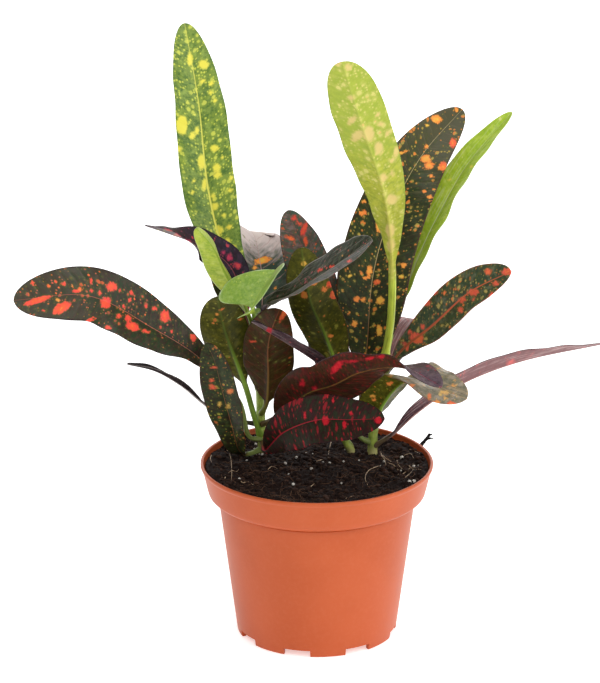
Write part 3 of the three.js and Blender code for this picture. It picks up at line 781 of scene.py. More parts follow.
def grow_leaf(name, skins, width, stalk, rib, face, fold=(16, 10), edge=(10, 6),
              shape=(0.55, 1, 2.2), spots=(), tint=1, petiole=1.25, wave=0.5):
    """One leaf from its rib, drawn from the stem to the tip. face is where the upper side looks at even
    stages of the blade, fold and edge how far each half rises at the rib and at the margin, in degrees.
    skins are its upper side's and its underside's, petiole the radius of its stalk."""
    length = np.linalg.norm(np.diff(smooth_path(rib, length_steps), axis=0), axis=1).sum()
    blade = length - stalk
    stalk_rows = np.linspace(0, stalk, max(6, round(stalk / stalk_row_gap)), endpoint=False)
    blade_rows = stalk + blade * (1 - (1 - np.linspace(0, 1, round(blade / blade_row_gap))) ** 1.3)
    distance = np.concatenate([stalk_rows, blade_rows])
    centre = smooth_path(rib, distance / length)
    last_heading = heading_steps - 1
    at_heading = (distance / length * last_heading).round().astype(int)
    direction = headings(smooth_path(rib, heading_steps))[np.clip(at_heading, 0, last_heading)]
    along = np.clip((distance - stalk) / blade, 0, 1)
    upward = unit(staged([unit(np.array(view, float)) for view in face], along))
    upward = unit(upward - direction * (upward * direction).sum(1, keepdims=True))
    across = np.cross(direction, upward)

    narrowest = petiole + (tip_half_width - petiole) * along
    half = np.maximum(width / 2 * blade_outline(shape, along), narrowest)[:, None]
    start = np.radians(staged(fold, along))[:, None]
    bend = np.radians(staged(edge, along) + 0.01)[:, None] - start
    station = cross_stations[None, :]
    slope = start + bend * np.abs(station)
    spread = half * (np.sin(slope) - np.sin(start)) / bend * np.sign(station)
    lift = half * (np.cos(start) - np.cos(slope)) / bend
    x = half * station
    y = (distance - stalk)[:, None] + x * 0
    phase = sum(map(ord, name)) * 0.7
    ripple = np.sin(y / 3.4 + phase + station) + 0.6 * np.sin(y / 5.3 + phase * 2 - station * 2)
    ripple = wave * ripple * np.abs(station) ** 2.5 * (eased(along * 6) * eased((1 - along) * 5))[:, None]

    tilt = np.where(station == 0, 1, np.cos(slope))
    lean = np.sign(station) * np.sin(slope)
    normal = upward[:, None] * tilt[..., None] - across[:, None] * lean[..., None]
    middle = centre[:, None] + across[:, None] * spread[..., None] + upward[:, None] * lift[..., None]
    middle = middle + normal * ripple[..., None]
    thin = half_thickness * (1 - margin_thinning * np.abs(station) ** 8)
    groove = rib_groove * np.exp(-(x / 0.6) ** 2) * (1 - along)[:, None]
    ridge_width = (1.2 - 0.5 * along)[:, None]
    ridge = rib_height * (1 - 0.8 * along)[:, None] * np.exp(-(x / ridge_width) ** 2)
    top = middle + normal * (thin - groove)[..., None]
    under = middle - normal * (thin + ridge)[..., None]

    count = len(cross_stations)
    angle = np.radians(180 * (count - 0.5 - np.arange(count)) / count)[None, :, None]
    swelling = (petiole * (1 + 0.4 * np.exp(-((distance - 2.5) / 2.5) ** 2)))[:, None, None]
    circle = centre[:, None] + across[:, None] * swelling * np.cos(angle)
    depth = upward[:, None] * swelling * np.sin(angle)
    opened = eased((half / petiole - 1) / 1.6)
    flat = np.maximum(eased((distance - stalk + 4) / 11)[:, None], opened)[..., None]
    top = (circle + depth * 0.8) * (1 - flat) + top * flat
    under = (circle - depth) * (1 - flat) + under * flat

    points = np.concatenate([top, under[:, ::-1]], axis=1)
    ring = 2 * count
    first = np.arange(len(distance) - 1)[:, None] * ring
    column = np.arange(ring)[None, :]
    following = (column + 1) % ring
    corners = [first + column, first + following, first + ring + following, first + ring + column]
    faces = np.stack(corners, axis=2).reshape(-1, 4).tolist()
    below = np.tile((column[0] >= count) & (column[0] < ring - 1), len(distance) - 1).astype(int).tolist()
    last = (len(distance) - 1) * ring
    for step in range(count - 1):
        faces.append((step, ring - 1 - step, ring - 2 - step, step + 1))
        faces.append((last + step, last + step + 1, last + ring - 2 - step, last + ring - 1 - step))
        below += [0, 0]
    leaf = make_piece(name + "_grown", points.reshape(-1, 3), faces, skins, below)

    nearest, tints = spot_field(middle, x, y, spots, tint)
    outward = np.abs(station) + y * 0
    share = along[:, None] + x * 0
    layers = {"blade": (x, y, x * 0 + phase), "share": (outward, share, tints), "spot": (nearest,)}
    for layer, parts in layers.items():
        both_sides = np.stack([np.concatenate([part, part[:, ::-1]], axis=1) for part in parts], axis=2)
        kind, field = ("FLOAT_VECTOR", "vector") if len(parts) > 1 else ("FLOAT", "value")
        leaf.data.attributes.new(layer, kind, "POINT").data.foreach_set(field, both_sides.ravel())
    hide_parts(name)


def leaf_skin(name, tones, spots, rib_foot=None, dots=0.25, dot_size=2.4, warm=0.2, soft=0.45, fray=1,
              rough=0.32, rib_width=0.4, rib_soft=0.14, rib_share=1, vein=0.05, gloss=0.22, spot_share=1,
              sheen=0, stretch=1, painted_sheen_tone="FFFFFF", painted_sheen_streaks=0, tip=None, tip_from=0.4, tip_share=0.8):
    """One side of a leaf. Its tones, as hex digits, are ground, deep and tinge, which are mottled together,
    then margin, rib, stalk, halo and dot. Its spots are yellow, orange and red. dots is the share of places
    with a small dot, of which warm are orange instead of the dot tone, drawn out stretch times along the
    side veins. sheen is how much of a waxy coat lies on it. The streak tone and its strength paint pale
    streaks that run lengthwise: a painted sheen. tip is a tone that the blade takes on past the share
    tip_from of its length."""
    ground, deep, tinge, margin, rib, stalk, halo, dot = (colour(code) for code in tones.split())
    spots = [colour(code) for code in spots.split()]
    material, place = new_finish(name)
    blade = place.stored("blade", 1)
    share = place.stored("share", 1)
    spot = place.stored("spot", 2)
    across = blade.part("X")
    x = across.maths("ABSOLUTE")
    y = blade.part("Y")
    own = blade.part("Z")
    outward = share.part("X")
    along = share.part("Y")
    broad = place.cloud(0.07, 3)
    patch = place.cloud(0.3, 3)
    fine = place.cloud(0.9, 3)
    tiny = place.cloud(3.5, 2)
    lean = y - x * 0.5 - x * x * 0.012
    streak = place.vector(across * 0.45, lean, own).cloud(0.55, 4)

    vein_place = (lean + broad * 5 + streak * 1.2).maths("PINGPONG", vein_gap / 2)
    on_blade = x.rise(0.5, 1.6) * outward.rise(1, 0.75) * y.rise(2, 12)
    vein_line = vein_place.rise(0.34, 0.04) * on_blade * streak.rise(0.3, 0.6)
    rib_line = (x - along.rise(1.3, -0.1) * rib_width).rise(rib_soft, -rib_soft) * rib_share
    rib_tone = along.rise(0.05, 0.6).blend(colour(rib_foot) if rib_foot else rib, rib)

    bent = y - x * (0.15 * stretch + 0.15)
    slanted = place.vector(across * (1 / stretch), bent, own)
    lengthwise = place.vector(across * 1.6, y * 0.09, own).cloud(0.7, 3)
    dim_stalk = (*(part * 0.66 for part in stalk[:3]), 1)
    stalk_tone = lengthwise.rise(0.36, 0.6).blend(dim_stalk, stalk)
    clumps = (place.cloud(0.1, 2) - 0.5) * 0.9
    dot_mask = 0
    ring_mask = 0
    for size in (dot_size, dot_size * 0.47):
        cell = slanted.node("ShaderNodeTexVoronoi", {}, {"Vector": slanted, "Scale": 1 / size})
        draw = cell.output(1)
        radius = (draw.part("X") + clumps).rise(1 - dots, 1.25 - dots * 0.4) * 0.44
        within = radius - cell + (fine - 0.5) * 0.5
        strength = radius.rise(0, 0.1) * (draw.part("Z") * 0.5 + 0.5)
        spread = within.rise(-0.05, 0.13) * strength
        dot_mask = spread.maths("MAXIMUM", dot_mask)
        ring = within.rise(-0.4, 0) * strength
        ring_mask = ring.maths("MAXIMUM", ring_mask)
    dot_tone = draw.part("Y").rise(1 - warm, 1.05 - warm).blend(dot, spots[1])

    frayed = spot + 0.15 + ((streak - 0.5) * 2.6 + (fine - 0.5) * 1.8 + (tiny - 0.5) * 0.4) * fray
    spot_mask = frayed.rise(soft, -soft) * spot_share
    halo_mask = frayed.rise(1.2, 0.1) * fine.rise(0.3, 0.6)
    tint = share.part("Z") + (fine - 0.5) * 0.6 + (patch - 0.5) * 0.5 + frayed * 0.16
    spot_tone = place.node("ShaderNodeValToRGB", {"stops": list(zip((0, 0.5, 1), spots))}, {0: tint})

    mottle = (streak * 0.9 + fine * 0.6 + broad * 0.4 - 0.45).rise(0.32, 0.66)
    tone = mottle.blend(ground, deep)
    tone = ((patch * 0.7 + streak * 0.5 - 0.1).rise(0.47, 0.68) * 0.75).blend(tone, tinge)
    if tip:
        beyond = (along + (streak - 0.5) * 0.3).rise(tip_from, tip_from + 0.3)
        tone = (beyond * tip_share).blend(tone, colour(tip))
    tone = (vein_line * vein).blend(tone, rib_tone)
    # Painted sheen: pale lengthwise streaks mixed into the colour, standing in for the gloss of the
    # cuticle.
    tone = (lengthwise.rise(0.5, 0.66) * painted_sheen_streaks).blend(tone, colour(painted_sheen_tone))
    tone = ((outward + (fine - 0.5) * 0.12).rise(0.92, 1) * 0.85).blend(tone, margin)
    halo_share = halo_mask.maths("MAXIMUM", ring_mask) * 0.6
    tone = halo_share.blend(tone, halo)
    tone = dot_mask.blend(tone, dot_tone)
    tone = spot_mask.blend(tone, spot_tone)
    tone = rib_line.blend(tone, rib_tone)
    tone = (y + fine * 3).rise(5, -5).blend(tone, stalk_tone)
    height = (vein_place * (1 / 2.7)).rise(0, 0.7) * on_blade * 0.08 + streak * 0.1 + tiny * 0.012
    shine = tiny * 0.06 + broad * 0.12 + rough - 0.06
    coat = {"Coat_Weight": sheen, "Coat_Roughness": 0.35}
    close_finish(place, tone, shine, height, Specular_IOR_Level=gloss, **coat)
    return material


yellow_spots = "E4DA50 E6CC46 E4A83E"
speckled_top = leaf_skin(
    "speckled_top", "788E3C 4A6A2E 97AC4C 4C6C2C DCD860 7E9C3C 8EA23A D6D858", yellow_spots, dots=0.68,
    warm=0, dot_size=3, rib_width=0.75, rib_soft=0.25, soft=0.7, fray=0.8)
speckled_under = leaf_skin(
    "speckled_under", "8FA85C 7C9A50 9AB060 86A050 C8CE7A 7E9C3C A8B862 B9C678", yellow_spots, dots=0.4,
    warm=0, soft=0.6, rough=0.5)
pale_spots = "DEC47C E2B26C DE8A52"
pale_under = leaf_skin(
    "pale_under", "B6B940 A0A637 8E9C36 8A9E38 BCC058 CADB50 C2C060 D2CC72", pale_spots,
    rib_foot="D2C860", dots=0.55, dot_size=3.2, warm=0.04, soft=1.1, rib_width=0.7, rib_soft=0.4,
    rib_share=0.5, spot_share=0.85, rough=0.36, tip="9DB240", tip_share=0.6)
pale_top = leaf_skin(
    "pale_top", "8AA83A 6E8E30 7C9834 86A040 D5D873 AFC444 A8B84A D5D873", yellow_spots, dots=0.5, warm=0)

grow_leaf(
    "leaf_tall_speckled", [speckled_top, speckled_under], width=29, stalk=14,
    fold=[25, 18, 10], edge=[10, 0, 4], shape=(0.45, 0.8, 2.6), tint=0.1,
    rib=[(-31, 24, 158), (-35, 29, 172), (-49, 36, 198), (-56, 41, 226), (-61, 52, 270),
         (-68, 64, 308)], face=[(0.3, -0.9, 0.3)],
    spots=[
        (204.5, 65, 11, 9), (203, 83, 7, 5, 0.05), (212, 85, 5, 5, 0), (192, 60, 6, 14, 0),
        (212, 92, 5, 5, 0), (215.5, 100.5, 5, 5, 0), (182, 127, 12, 22), (194, 136, 7, 7, 0),
        (198, 131, 5, 8, 0), (215, 149, 10, 7), (203, 163, 8, 16, 0.05), (217.5, 168, 9, 8, 0),
        (218, 177, 9, 7, 0.05), (223, 159, 4, 4, 0), (232, 176, 5, 5, 0), (232, 189, 7, 5),
        (206, 184, 5, 14, 0), (194, 181, 4, 4, 0), (194, 192, 4, 4, 0), (216, 208, 8, 9),
        (214, 198, 5, 6, 0), (224, 217, 5, 5, 0), (231, 226, 7, 5, 0.35), (220, 232, 9, 9),
        (226, 242, 6, 7, 0.05), (235, 246, 5, 5), (181, 149, 5, 6, 0)
    ])
grow_leaf(
    "leaf_yellow_green", [pale_top, pale_under], width=28, stalk=50, edge=[14, 8],
    shape=(0.7, 1, 3), petiole=2, tint=0,
    rib=[(35, 22, 139), (38, 17, 164), (38, 12, 199), (34, 2, 234), (22, -8, 274), (12, -16, 308)],
    face=[(0.15, 0.95, 0.2)],
    spots=[
        (337, 65, 6, 6), (349, 69, 7, 7), (352, 100, 8, 5), (352, 122, 12, 6, 0.1, -40),
        (356, 137, 15, 9, 0.1, -40), (369, 136, 12, 17, 0.1), (382, 126, 7, 5), (388, 135, 5, 6),
        (378, 150, 9, 15), (395, 153, 5, 11, 0.1), (379, 115, 5, 5), (392, 163, 7, 4), (392, 175, 5, 5),
        (382, 179, 8, 8, 0.1), (390, 201, 11, 11), (388, 231, 9, 15), (390, 245, 8, 13)
    ])


# Young leaves: three that are still folded or curled, soft and bright yellow-green with a pale margin.
young_top = leaf_skin(
    "young_top", "96B44E 7A9E40 ACC46C B8D08C B4CC62 86A83C A8C050 C8D06A", yellow_spots, dots=0.25,
    dot_size=1.8, warm=0, rough=0.3, sheen=0.2)
young_under = leaf_skin(
    "young_under", "B2C046 8CA636 C4CC64 CCD298 88A038 86A83C A8C050 C4CE58", yellow_spots, dots=0.1,
    warm=0, rough=0.42, soft=0.5, vein=0.5)
# Partly painted sheen: the wide pale rib band is both the midrib and a painted sheen along the fold, and
# the pale lengthwise streaks are painted sheen.
bright_top = leaf_skin(
    "bright_top", "AECA36 98B92C C4D655 B4C884 E0EAB4 86A83C BCCC58 D6DC7C", yellow_spots, dots=0.15,
    warm=0, rough=0.3, painted_sheen_tone="D4E09A", painted_sheen_streaks=0.4, rib_width=0.4, rib_soft=0.3)
grow_leaf(
    "leaf_small_folded", [young_top, young_under], width=18, stalk=12,
    fold=[60, 55, 45], edge=[60, 55, 45], shape=(0.5, 1.1, 2), wave=0.2,
    rib=[(-31, 22, 152), (-38, 17, 173), (-46.5, 9, 190), (-53, 0, 207.5), (-61, -3, 218.5)],
    face=[(-0.64, 0.76, 0)])
grow_leaf(
    "leaf_small_curled", [young_top, young_under], width=48, stalk=42, fold=[24],
    edge=[16], shape=(0.4, 0.65, 2.4), wave=0.3,
    rib=[(-31, 22, 159), (-30, 8, 171), (-33, -16, 179.5), (-29, -9, 186), (-21, 3, 194.5)],
    face=[(-0.6, -0.1, 0.8)])
grow_leaf(
    "leaf_bright_back", [bright_top, young_under], width=19, stalk=24,
    fold=[30, 26, 20], edge=[26, 20], shape=(0.5, 1.1, 1.8), tint=0,
    rib=[(35, 22, 133), (38, 32, 147), (43, 37, 163), (54, 43, 192), (63, 48, 210), (78, 56, 235),
         (101, 63, 261)], face=[(-0.6, -0.6, 0.5)], spots=[(470, 165, 3, 2), (448, 178, 3, 3)])


# Dark leaves with orange spots: the big one that stands behind the right stem, the one that arches
# over the back, and the smaller ones behind. The blade is almost black green with a thin pale rib.
ember_spots = "E8B84A F08A3C E8503A"
dark_back = leaf_skin(
    "dark_back", "5A4850 423438 6A5258 3A2A30 A08068 7C7C46 6E6452 8A8458",
    "B09A5A B8764A A8483E", dots=0.2, soft=0.5, rough=0.45)
# Painted sheen: the grey olive tone that the blade takes on past 60% of its length.
orange_top = leaf_skin(
    "orange_top", "28361A 282412 3C3E20 44261A D8C088 7C8A48 4A5222 B89C48", ember_spots,
    rib_foot="7A4E34", dots=0.55, dot_size=3, warm=0.45, rib_width=0.22, rough=0.34, tip="56523C",
    tip_from=0.6, tip_share=0.7)
# Painted sheen: the pale pinkish grey tip tone covers the crest where the blade arches over to the back.
crest_top = leaf_skin(
    "crest_top", "34493A 3E4038 556356 6A484A B8908A 7C8A48 5E6A3C A89448", ember_spots, dots=0.14,
    warm=0.3, rib_width=0.25, rough=0.5, gloss=0.1, vein=0.6, tip="DECDC8", tip_from=0.42, tip_share=0.9)
grow_leaf(
    "leaf_big_dark", [orange_top, dark_back], width=38, stalk=40, edge=[10, 4],
    shape=(0.34, 0.9, 2.2), tint=0.5,
    rib=[(29, 21, 94), (22, 17, 100), (23, 22, 118), (26, 26, 146), (29, 31, 183), (38, 39, 213),
         (54, 48, 242), (75, 58, 264)], face=[(0.1, -0.9, 0.4)],
    spots=[
        (438, 121, 12, 9), (429, 126, 5, 3, 0), (452, 141, 7, 12, 1), (428, 147, 5, 5), (425, 157, 11, 9),
        (427, 166, 11, 8, 0.6, -25), (442, 165, 8, 11, 0.8), (438, 169, 4, 4), (402, 151, 5, 3, 0.4),
        (409, 151, 3, 3, 0.4), (430, 177, 4, 5), (426, 190, 4, 4), (428, 196, 7, 4), (366, 201, 5, 5),
        (372, 201, 4, 4, 0.4), (364, 213, 8, 7, 0.6), (378, 227, 7, 15), (398, 254, 5, 5, 0.4),
        (402, 265, 7, 6), (459, 109, 5, 5), (371, 271.6, 6, 12), (364.7, 278, 8, 4),
        (375.8, 283.4, 7, 7, 0.8), (401, 278, 6, 4, 0), (349.7, 278, 4, 4, 0), (355.3, 300.8, 7, 6, 0.6),
        (364.7, 300, 5, 5), (378.2, 300, 9, 10, 0.3), (350.5, 313.4, 4, 4), (354.5, 323.7, 7, 7),
        (379.7, 330, 6, 14, 0.3)
    ])
grow_leaf(
    "leaf_back_arching", [crest_top, dark_back], width=36, stalk=20, fold=[12], edge=[8],
    shape=(0.5, 1, 2.2), wave=0.12, tint=0.4,
    rib=[(-31, 24, 143), (-28, 38, 173), (-30, 48, 187.5), (-32.6, 54.5, 196.5), (-35, 59, 198),
         (-34, 64.5, 190)], face=[(0, -0.9, 0.3), (0.1, -0.8, 0.6), (0.32, 0, 1), (0.3, 0.6, 0.75)],
    spots=[
        (264, 260, 21, 7, 0.5, -15), (256, 268, 6, 5), (278.5, 299, 6, 5), (274.5, 286, 4, 4, 0.5),
        (281.6, 289.5, 4, 4, 0.5)
    ])
grow_leaf(
    "leaf_back_left", [orange_top, dark_back], width=22, stalk=12,
    rib=[(-30, 23, 122), (-36, 42, 134), (-44, 56, 137), (-48, 65, 130)],
    face=[(0, -0.5, 0.85), (0, 0.1, 1), (0, 0.5, 0.85)])
grow_leaf(
    "leaf_back_high_left", [orange_top, dark_back], width=18, stalk=20, fold=[18, 10],
    edge=[12, 6],
    rib=[(-30, 24, 134), (-44, 44, 168), (-52, 57, 184), (-56, 65, 186)],
    face=[(0.2, -0.7, 0.6), (0, -0.2, 1)])
grow_leaf(
    "leaf_back_middle", [orange_top, dark_back], width=22, stalk=12,
    rib=[(12, 22, 110), (8, 42, 130), (4, 56, 139), (0, 65, 136)],
    face=[(0, -0.5, 0.85), (0, 0.1, 1), (0, 0.4, 0.9)])
grow_leaf(
    "leaf_back_high_right", [orange_top, dark_back], width=20, stalk=18, fold=[18, 10],
    edge=[12, 6],
    rib=[(34, 23, 124), (33, 42, 159), (36, 56, 184), (39, 65, 192)], face=[(0, -0.7, 0.6), (0, -0.2, 1)])


# Dark leaves with red spots: those of the left cutting that reach out to the left and the front, one of
# the middle cutting and one at the right. The spots are coral red on green-black, the margins maroon.
coral_spots = "DCA24A EE6438 E8463E"
red_top = leaf_skin(
    "red_top", "263620 34221E 403A2A 260E12 C8604A 7C8A48 5A6226 C4564A", coral_spots, rib_foot="B08070",
    dots=0.42, warm=0.4, dot_size=2.8, rib_width=0.2, rough=0.32, tip="4A4436", tip_from=0.55,
    tip_share=0.5)
patched_top = leaf_skin(
    "patched_top", "3E5A4A 5E463F 84706A 3A1C20 B0584A 7C8A48 5A5A38 C0604A", coral_spots, dots=0.4,
    warm=0.4, dot_size=2.8, rib_width=0.2, rough=0.36, soft=0.6)
violet_top = leaf_skin(
    "violet_top", "2A2A30 30202C 3E3444 221018 8A4A50 7C8A48 4A3448 9A4450",
    "C86A5A D0404A B83A5E", dots=0.35, warm=0.5, rib_width=0.25, rough=0.5, gloss=0.1, soft=0.8,
    tip="42302E", tip_from=0.5)
mossy_top = leaf_skin(
    "mossy_top", "24321A 2A2014 364022 3A1C1A 8A5A3C 7C8A48 4A5022 9A963C",
    "C8A04A C8683A C84A38", dots=0.42, warm=0.45, rib_width=0.25, rough=0.4, gloss=0.12, soft=0.8)
# Painted sheen: the pale grey margin and the pale lengthwise streaks of this dark leaf stand in for its
# gloss.
sheen_streaked_top = leaf_skin(
    "sheen_streaked_top", "30382A 2A2824 4A503C 8A7E78 A8A090 7C8A48 3E4430 B8606A", coral_spots, dots=0.35,
    warm=0.1, dot_size=2, rib_width=0.4, rough=0.42, gloss=0.12, vein=0.1, painted_sheen_tone="8E8A80", painted_sheen_streaks=0.35)
# Painted sheen: the broad near-white band along the rib of this narrow dark leaf, which is seen almost
# edge-on, stands in for its gloss; its own gloss is set almost to nothing.
sheen_banded_top = leaf_skin(
    "sheen_banded_top", "221A1A 161012 2E2424 8E8682 D8D0CC 4A4638 4A4038 5A4A42", coral_spots, dots=0.1,
    rib_width=0.7, rib_soft=0.4, rough=0.75, gloss=0.02)
grow_leaf(
    "leaf_dark_folded", [violet_top, dark_back], width=18, stalk=14, fold=[14, 16],
    edge=[10, 10], shape=(0.4, 0.9, 2),
    rib=[(-31, 23, 146), (-36, 24, 160), (-44, 25, 188.5), (-60, 17, 203.5), (-73, 4, 213),
         (-86, -10, 222)], face=[(-0.1, -0.9, 0.3), (-0.1, -0.7, 0.6), (0, 0.15, 1)],
    spots=[
        (170, 231, 8, 3, 1, 15), (179, 236, 11, 3.5, 1, 15), (190, 240, 8, 4, 1, 15),
        (230.8, 258.7, 6, 6), (238, 267, 8, 6, 0.6), (223.7, 251.6, 4, 4), (265, 296.5, 6, 10),
        (262.7, 310.7, 4, 5)
    ])
grow_leaf(
    "leaf_long_left", [red_top, dark_back], width=30, stalk=38, fold=[50, 22, 12],
    edge=[40, 16, 6], shape=(0.6, 1.5, 2.8),
    rib=[(-28, 22, 96), (-35, 15, 100), (-40, 12, 120), (-60, -2, 149), (-83, -14, 169),
         (-114, -32, 192), (-150, -48, 195)],
    face=[(-0.2, -0.6, 0.75), (-0.15, -0.75, 0.6), (-0.1, -0.9, 0.35)],
    spots=[
        (40, 299.5, 40, 6, 1, -18), (63, 308, 23, 10, 0.9, -30), (77, 293, 8, 4), (111, 288, 12, 10),
        (107, 302, 11, 12), (100, 295, 5, 5), (50, 287, 4, 4, 0.5), (34, 283, 4, 4, 0.9), (66, 284, 4, 5),
        (83, 289, 5, 5, 0.5), (93, 318, 15, 4, 1, -25), (92, 282, 3, 7), (134, 328, 16, 9, 1, 10),
        (148, 331, 9, 4, 1, 10), (130, 318, 7, 7), (120, 315, 6, 5), (124, 308, 4, 4), (130, 300, 5, 5),
        (147, 305, 4, 4), (155, 308, 6, 5), (166, 317, 10, 13), (171.5, 332, 4, 4), (195, 340, 5, 8),
        (200.5, 374, 8, 9), (110, 327, 8, 4), (60, 299, 5, 3, 0.2), (45, 309, 4, 3, 0.9),
        (73, 287, 3, 3, 0.2), (57, 283, 3, 3, 0.9), (132, 291, 4, 4), (121, 291, 3, 3), (92, 292, 4, 4),
        (160, 329, 3, 3), (193, 336, 4, 4)
    ])
grow_leaf(
    "leaf_narrow_left", [sheen_banded_top, sheen_banded_top], width=13, stalk=32, fold=[20, 10],
    edge=[20, 10], shape=(0.55, 1.1, 2.4), wave=0.2,
    rib=[(-29, 23, 104), (-43, 24, 106), (-58, 21, 116), (-70, 16, 128), (-83, 10, 138),
         (-97, 3, 144)], face=[(0.3, 0.25, 0.95)])
grow_leaf(
    "leaf_front_left", [mossy_top, dark_back], width=21, stalk=16, fold=[30, 20],
    edge=[20, 10], shape=(0.6, 0.6, 2),
    rib=[(-28, 22, 91), (-36, 13, 91), (-40, 5, 96), (-44, -3, 114), (-49, -9, 137), (-52, -12, 151),
         (-56, -13, 161)], face=[(-0.35, -0.85, 0.3)],
    spots=[
        (209.7, 381.6, 4, 4), (211, 388, 7, 5), (213.8, 369.4, 7, 3), (228.5, 392, 7, 5, 0.6),
        (219.5, 406, 4, 4, 0), (226, 406, 4, 4, 0)
    ])
grow_leaf(
    "leaf_sheen_centre", [sheen_streaked_top, dark_back], width=28, stalk=24, fold=[24, 12],
    edge=[20, 10], shape=(0.62, 1.3, 1.6), tint=0,
    rib=[(-31, 23, 140), (-28, 13, 158), (-26, 7, 174), (-15, -5, 183), (-4, -14, 193),
         (12, -26, 208), (27, -36, 222)],
    face=[(-0.45, -0.15, 0.88), (-0.45, -0.18, 0.86), (-0.42, -0.38, 0.8)],
    spots=[
        (347, 260, 5, 3, 1, -30), (331, 265, 5, 3, 1, -30), (318, 270, 6, 3, 1, -30), (340, 255, 3, 2)
    ])
grow_leaf(
    "leaf_red_patch", [patched_top, dark_back], width=24, stalk=22, fold=[14], edge=[10],
    shape=(0.6, 1.2, 1.8),
    rib=[(12, 22, 116), (7, 30, 145), (1, 35, 173), (-8, 38, 197), (-15, 40, 215)],
    face=[(-0.2, -0.9, 0.3)],
    spots=[
        (302, 230, 6, 17, 1, 15), (305.5, 242.5, 5, 9, 0.7, -10), (291, 240, 9, 5, 0.6, 20),
        (292.5, 219, 6, 6), (296.5, 224, 5, 4)
    ])

spotted_top = leaf_skin(
    "spotted_top", "3B4F33 333D2E 6B7359 A05850 DC6844 7C8A48 6E6A34 BCA860",
    "E0A84A EE7A44 E65A48", rib_foot="A8603C", dots=0.62, warm=0.45, dot_size=2.8, rib_width=1.1,
    rib_soft=0.4, rough=0.34, soft=0.6, sheen=0.2)
grow_leaf(
    "leaf_right_spotted", [spotted_top, dark_back], width=25, stalk=14, fold=[22, 14],
    edge=[16, 8], wave=0.2,
    rib=[(33, 22, 128), (44, 10, 149), (59, 2, 165), (77, -8, 186), (97, -20, 201)],
    face=[(-0.4, -0.65, 0.65)],
    spots=[
        (506, 271, 13, 8), (487, 270, 7, 7, 0.8), (494, 283, 7, 5), (472, 291, 10, 7), (490, 295, 5, 5),
        (472, 299, 4, 4), (461, 299, 8, 6), (425, 300.5, 9, 8), (422, 326, 6, 6), (416, 338, 13, 11),
        (408, 333, 4, 4), (405, 345, 4, 10), (459, 309, 6, 6), (433, 292, 6, 4)
    ])


# Olive leaves: four that stand or arch so that their undersides face the front, brown olive with a
# broad soft rib, thick stalks and orange patches.
under_spots = "D0A040 E07A3A D8482E"
olive_top = leaf_skin(
    "olive_top", "34442A 2A3020 44522C 4A3428 C8A04A 74903A 62702E A9AE4A", ember_spots, dots=0.5)
olive_under = leaf_skin(
    "olive_under", "4C4B0B 373808 676318 3A280C 50601C 7E9C38 60601E 8C8834", under_spots,
    rib_foot="86A83A", dots=0.4, soft=0.4, rough=0.42, rib_width=0.9, rib_soft=0.6, vein=0.12, stretch=1.4)
brown_under = leaf_skin(
    "brown_under", "42340F 35240A 5A2814 3A200C 8C5230 8A9040 4E4A1C 6E7030",
    "D0A040 E06A34 C83C2C", rib_foot="7E6A34", dots=0.3, soft=0.4, rough=0.42, rib_width=0.35,
    rib_soft=0.3, vein=0.3, stretch=1.6)
# Painted sheen: the pale lengthwise streaks on the arched end.
ash_top = leaf_skin(
    "ash_top", "888370 686552 B2A292 8A5A4A C89A68 7C8A48 8E8458 DCB47C", "E4C070 EC9850 E84E40",
    rib_foot="A8603C", dots=0.45, warm=0.4, dot_size=2.4, rib_width=0.4, rough=0.32, sheen=0.3,
    painted_sheen_tone="DCBC94", painted_sheen_streaks=0.35)
grow_leaf(
    "leaf_olive_left", [olive_top, olive_under], width=25, stalk=32, fold=[14, 8],
    edge=[14, 8], shape=(0.55, 1, 2.6), petiole=1.5, tint=0.4,
    rib=[(-29, 22, 97), (-33, 18, 112), (-36.6, 17, 126), (-42.2, 14, 143.5), (-47.3, 12, 159.3),
         (-51, 10.5, 178)], face=[(-0.2, 0.95, 0.3)],
    spots=[(222.8, 310.5, 6, 3, 0.6, -30), (215.5, 316, 4, 3), (242.5, 320, 5, 4, 0.6)])
grow_leaf(
    "leaf_olive_centre", [olive_top, brown_under], width=27, stalk=12, edge=[14, 8],
    shape=(0.45, 0.9, 2.4), petiole=1.3,
    rib=[(-29, 22, 110), (-26, 14, 119), (-25, 9, 136), (-25, 5, 153), (-23, 3, 163), (-19, 2, 174)],
    face=[(0.1, 0.95, 0.3)], spots=[(282.5, 316.5, 5, 21, 0.8, 30), (252, 343, 8, 3)])
grow_leaf(
    "leaf_olive_middle", [olive_top, olive_under], width=26, stalk=16, fold=[14], edge=[10],
    shape=(0.5, 1, 2.4), tint=0.5,
    rib=[(12, 22, 112), (10, 17, 137), (4, 13, 157), (-3, 12, 174), (-6, 12, 189), (-8, 14, 203)],
    face=[(0.1, 0.9, 0.4)],
    spots=[
        (314, 284, 7, 7), (322, 291, 6, 6), (304, 297, 8, 8), (332, 285, 5, 6, 1), (336, 296, 10, 10, 1),
        (330, 338, 6, 4), (305, 265, 6, 6, 0)
    ])
grow_leaf(
    "leaf_olive_arching", [ash_top, olive_under], width=30, stalk=8, fold=[36, 34, 10],
    edge=[16, 12, 4], shape=(0.45, 0.45, 2.4), tint=0.2,
    rib=[(30, 22, 107), (30, 6, 112), (34, -2, 124), (40, -11, 136), (48, -26, 146),
         (60, -42, 146.8), (74, -54, 145.5)],
    face=[(-0.45, 0.85, 0.2), (-0.45, 0.85, 0.3), (0.2, -0.4, 0.9), (0.25, -0.75, 0.6)],
    spots=[
        (388, 377, 7, 3, 0.5), (389.5, 385.7, 9, 4, 0.6, -20), (363.7, 391.8, 5, 4, 0),
        (372, 396.6, 7, 3, 0.3), (374.6, 402, 5, 3, 0.5), (413, 383.7, 7, 4, 0.8), (430, 395, 4, 8, 0.8),
        (435.6, 400.6, 7, 5, 0.6), (451, 404, 9, 6, 1), (452, 385, 9, 2, 0.4), (444.5, 390.5, 9, 4),
        (440, 393, 4, 4, 0), (445, 396.6, 4, 3)
    ])


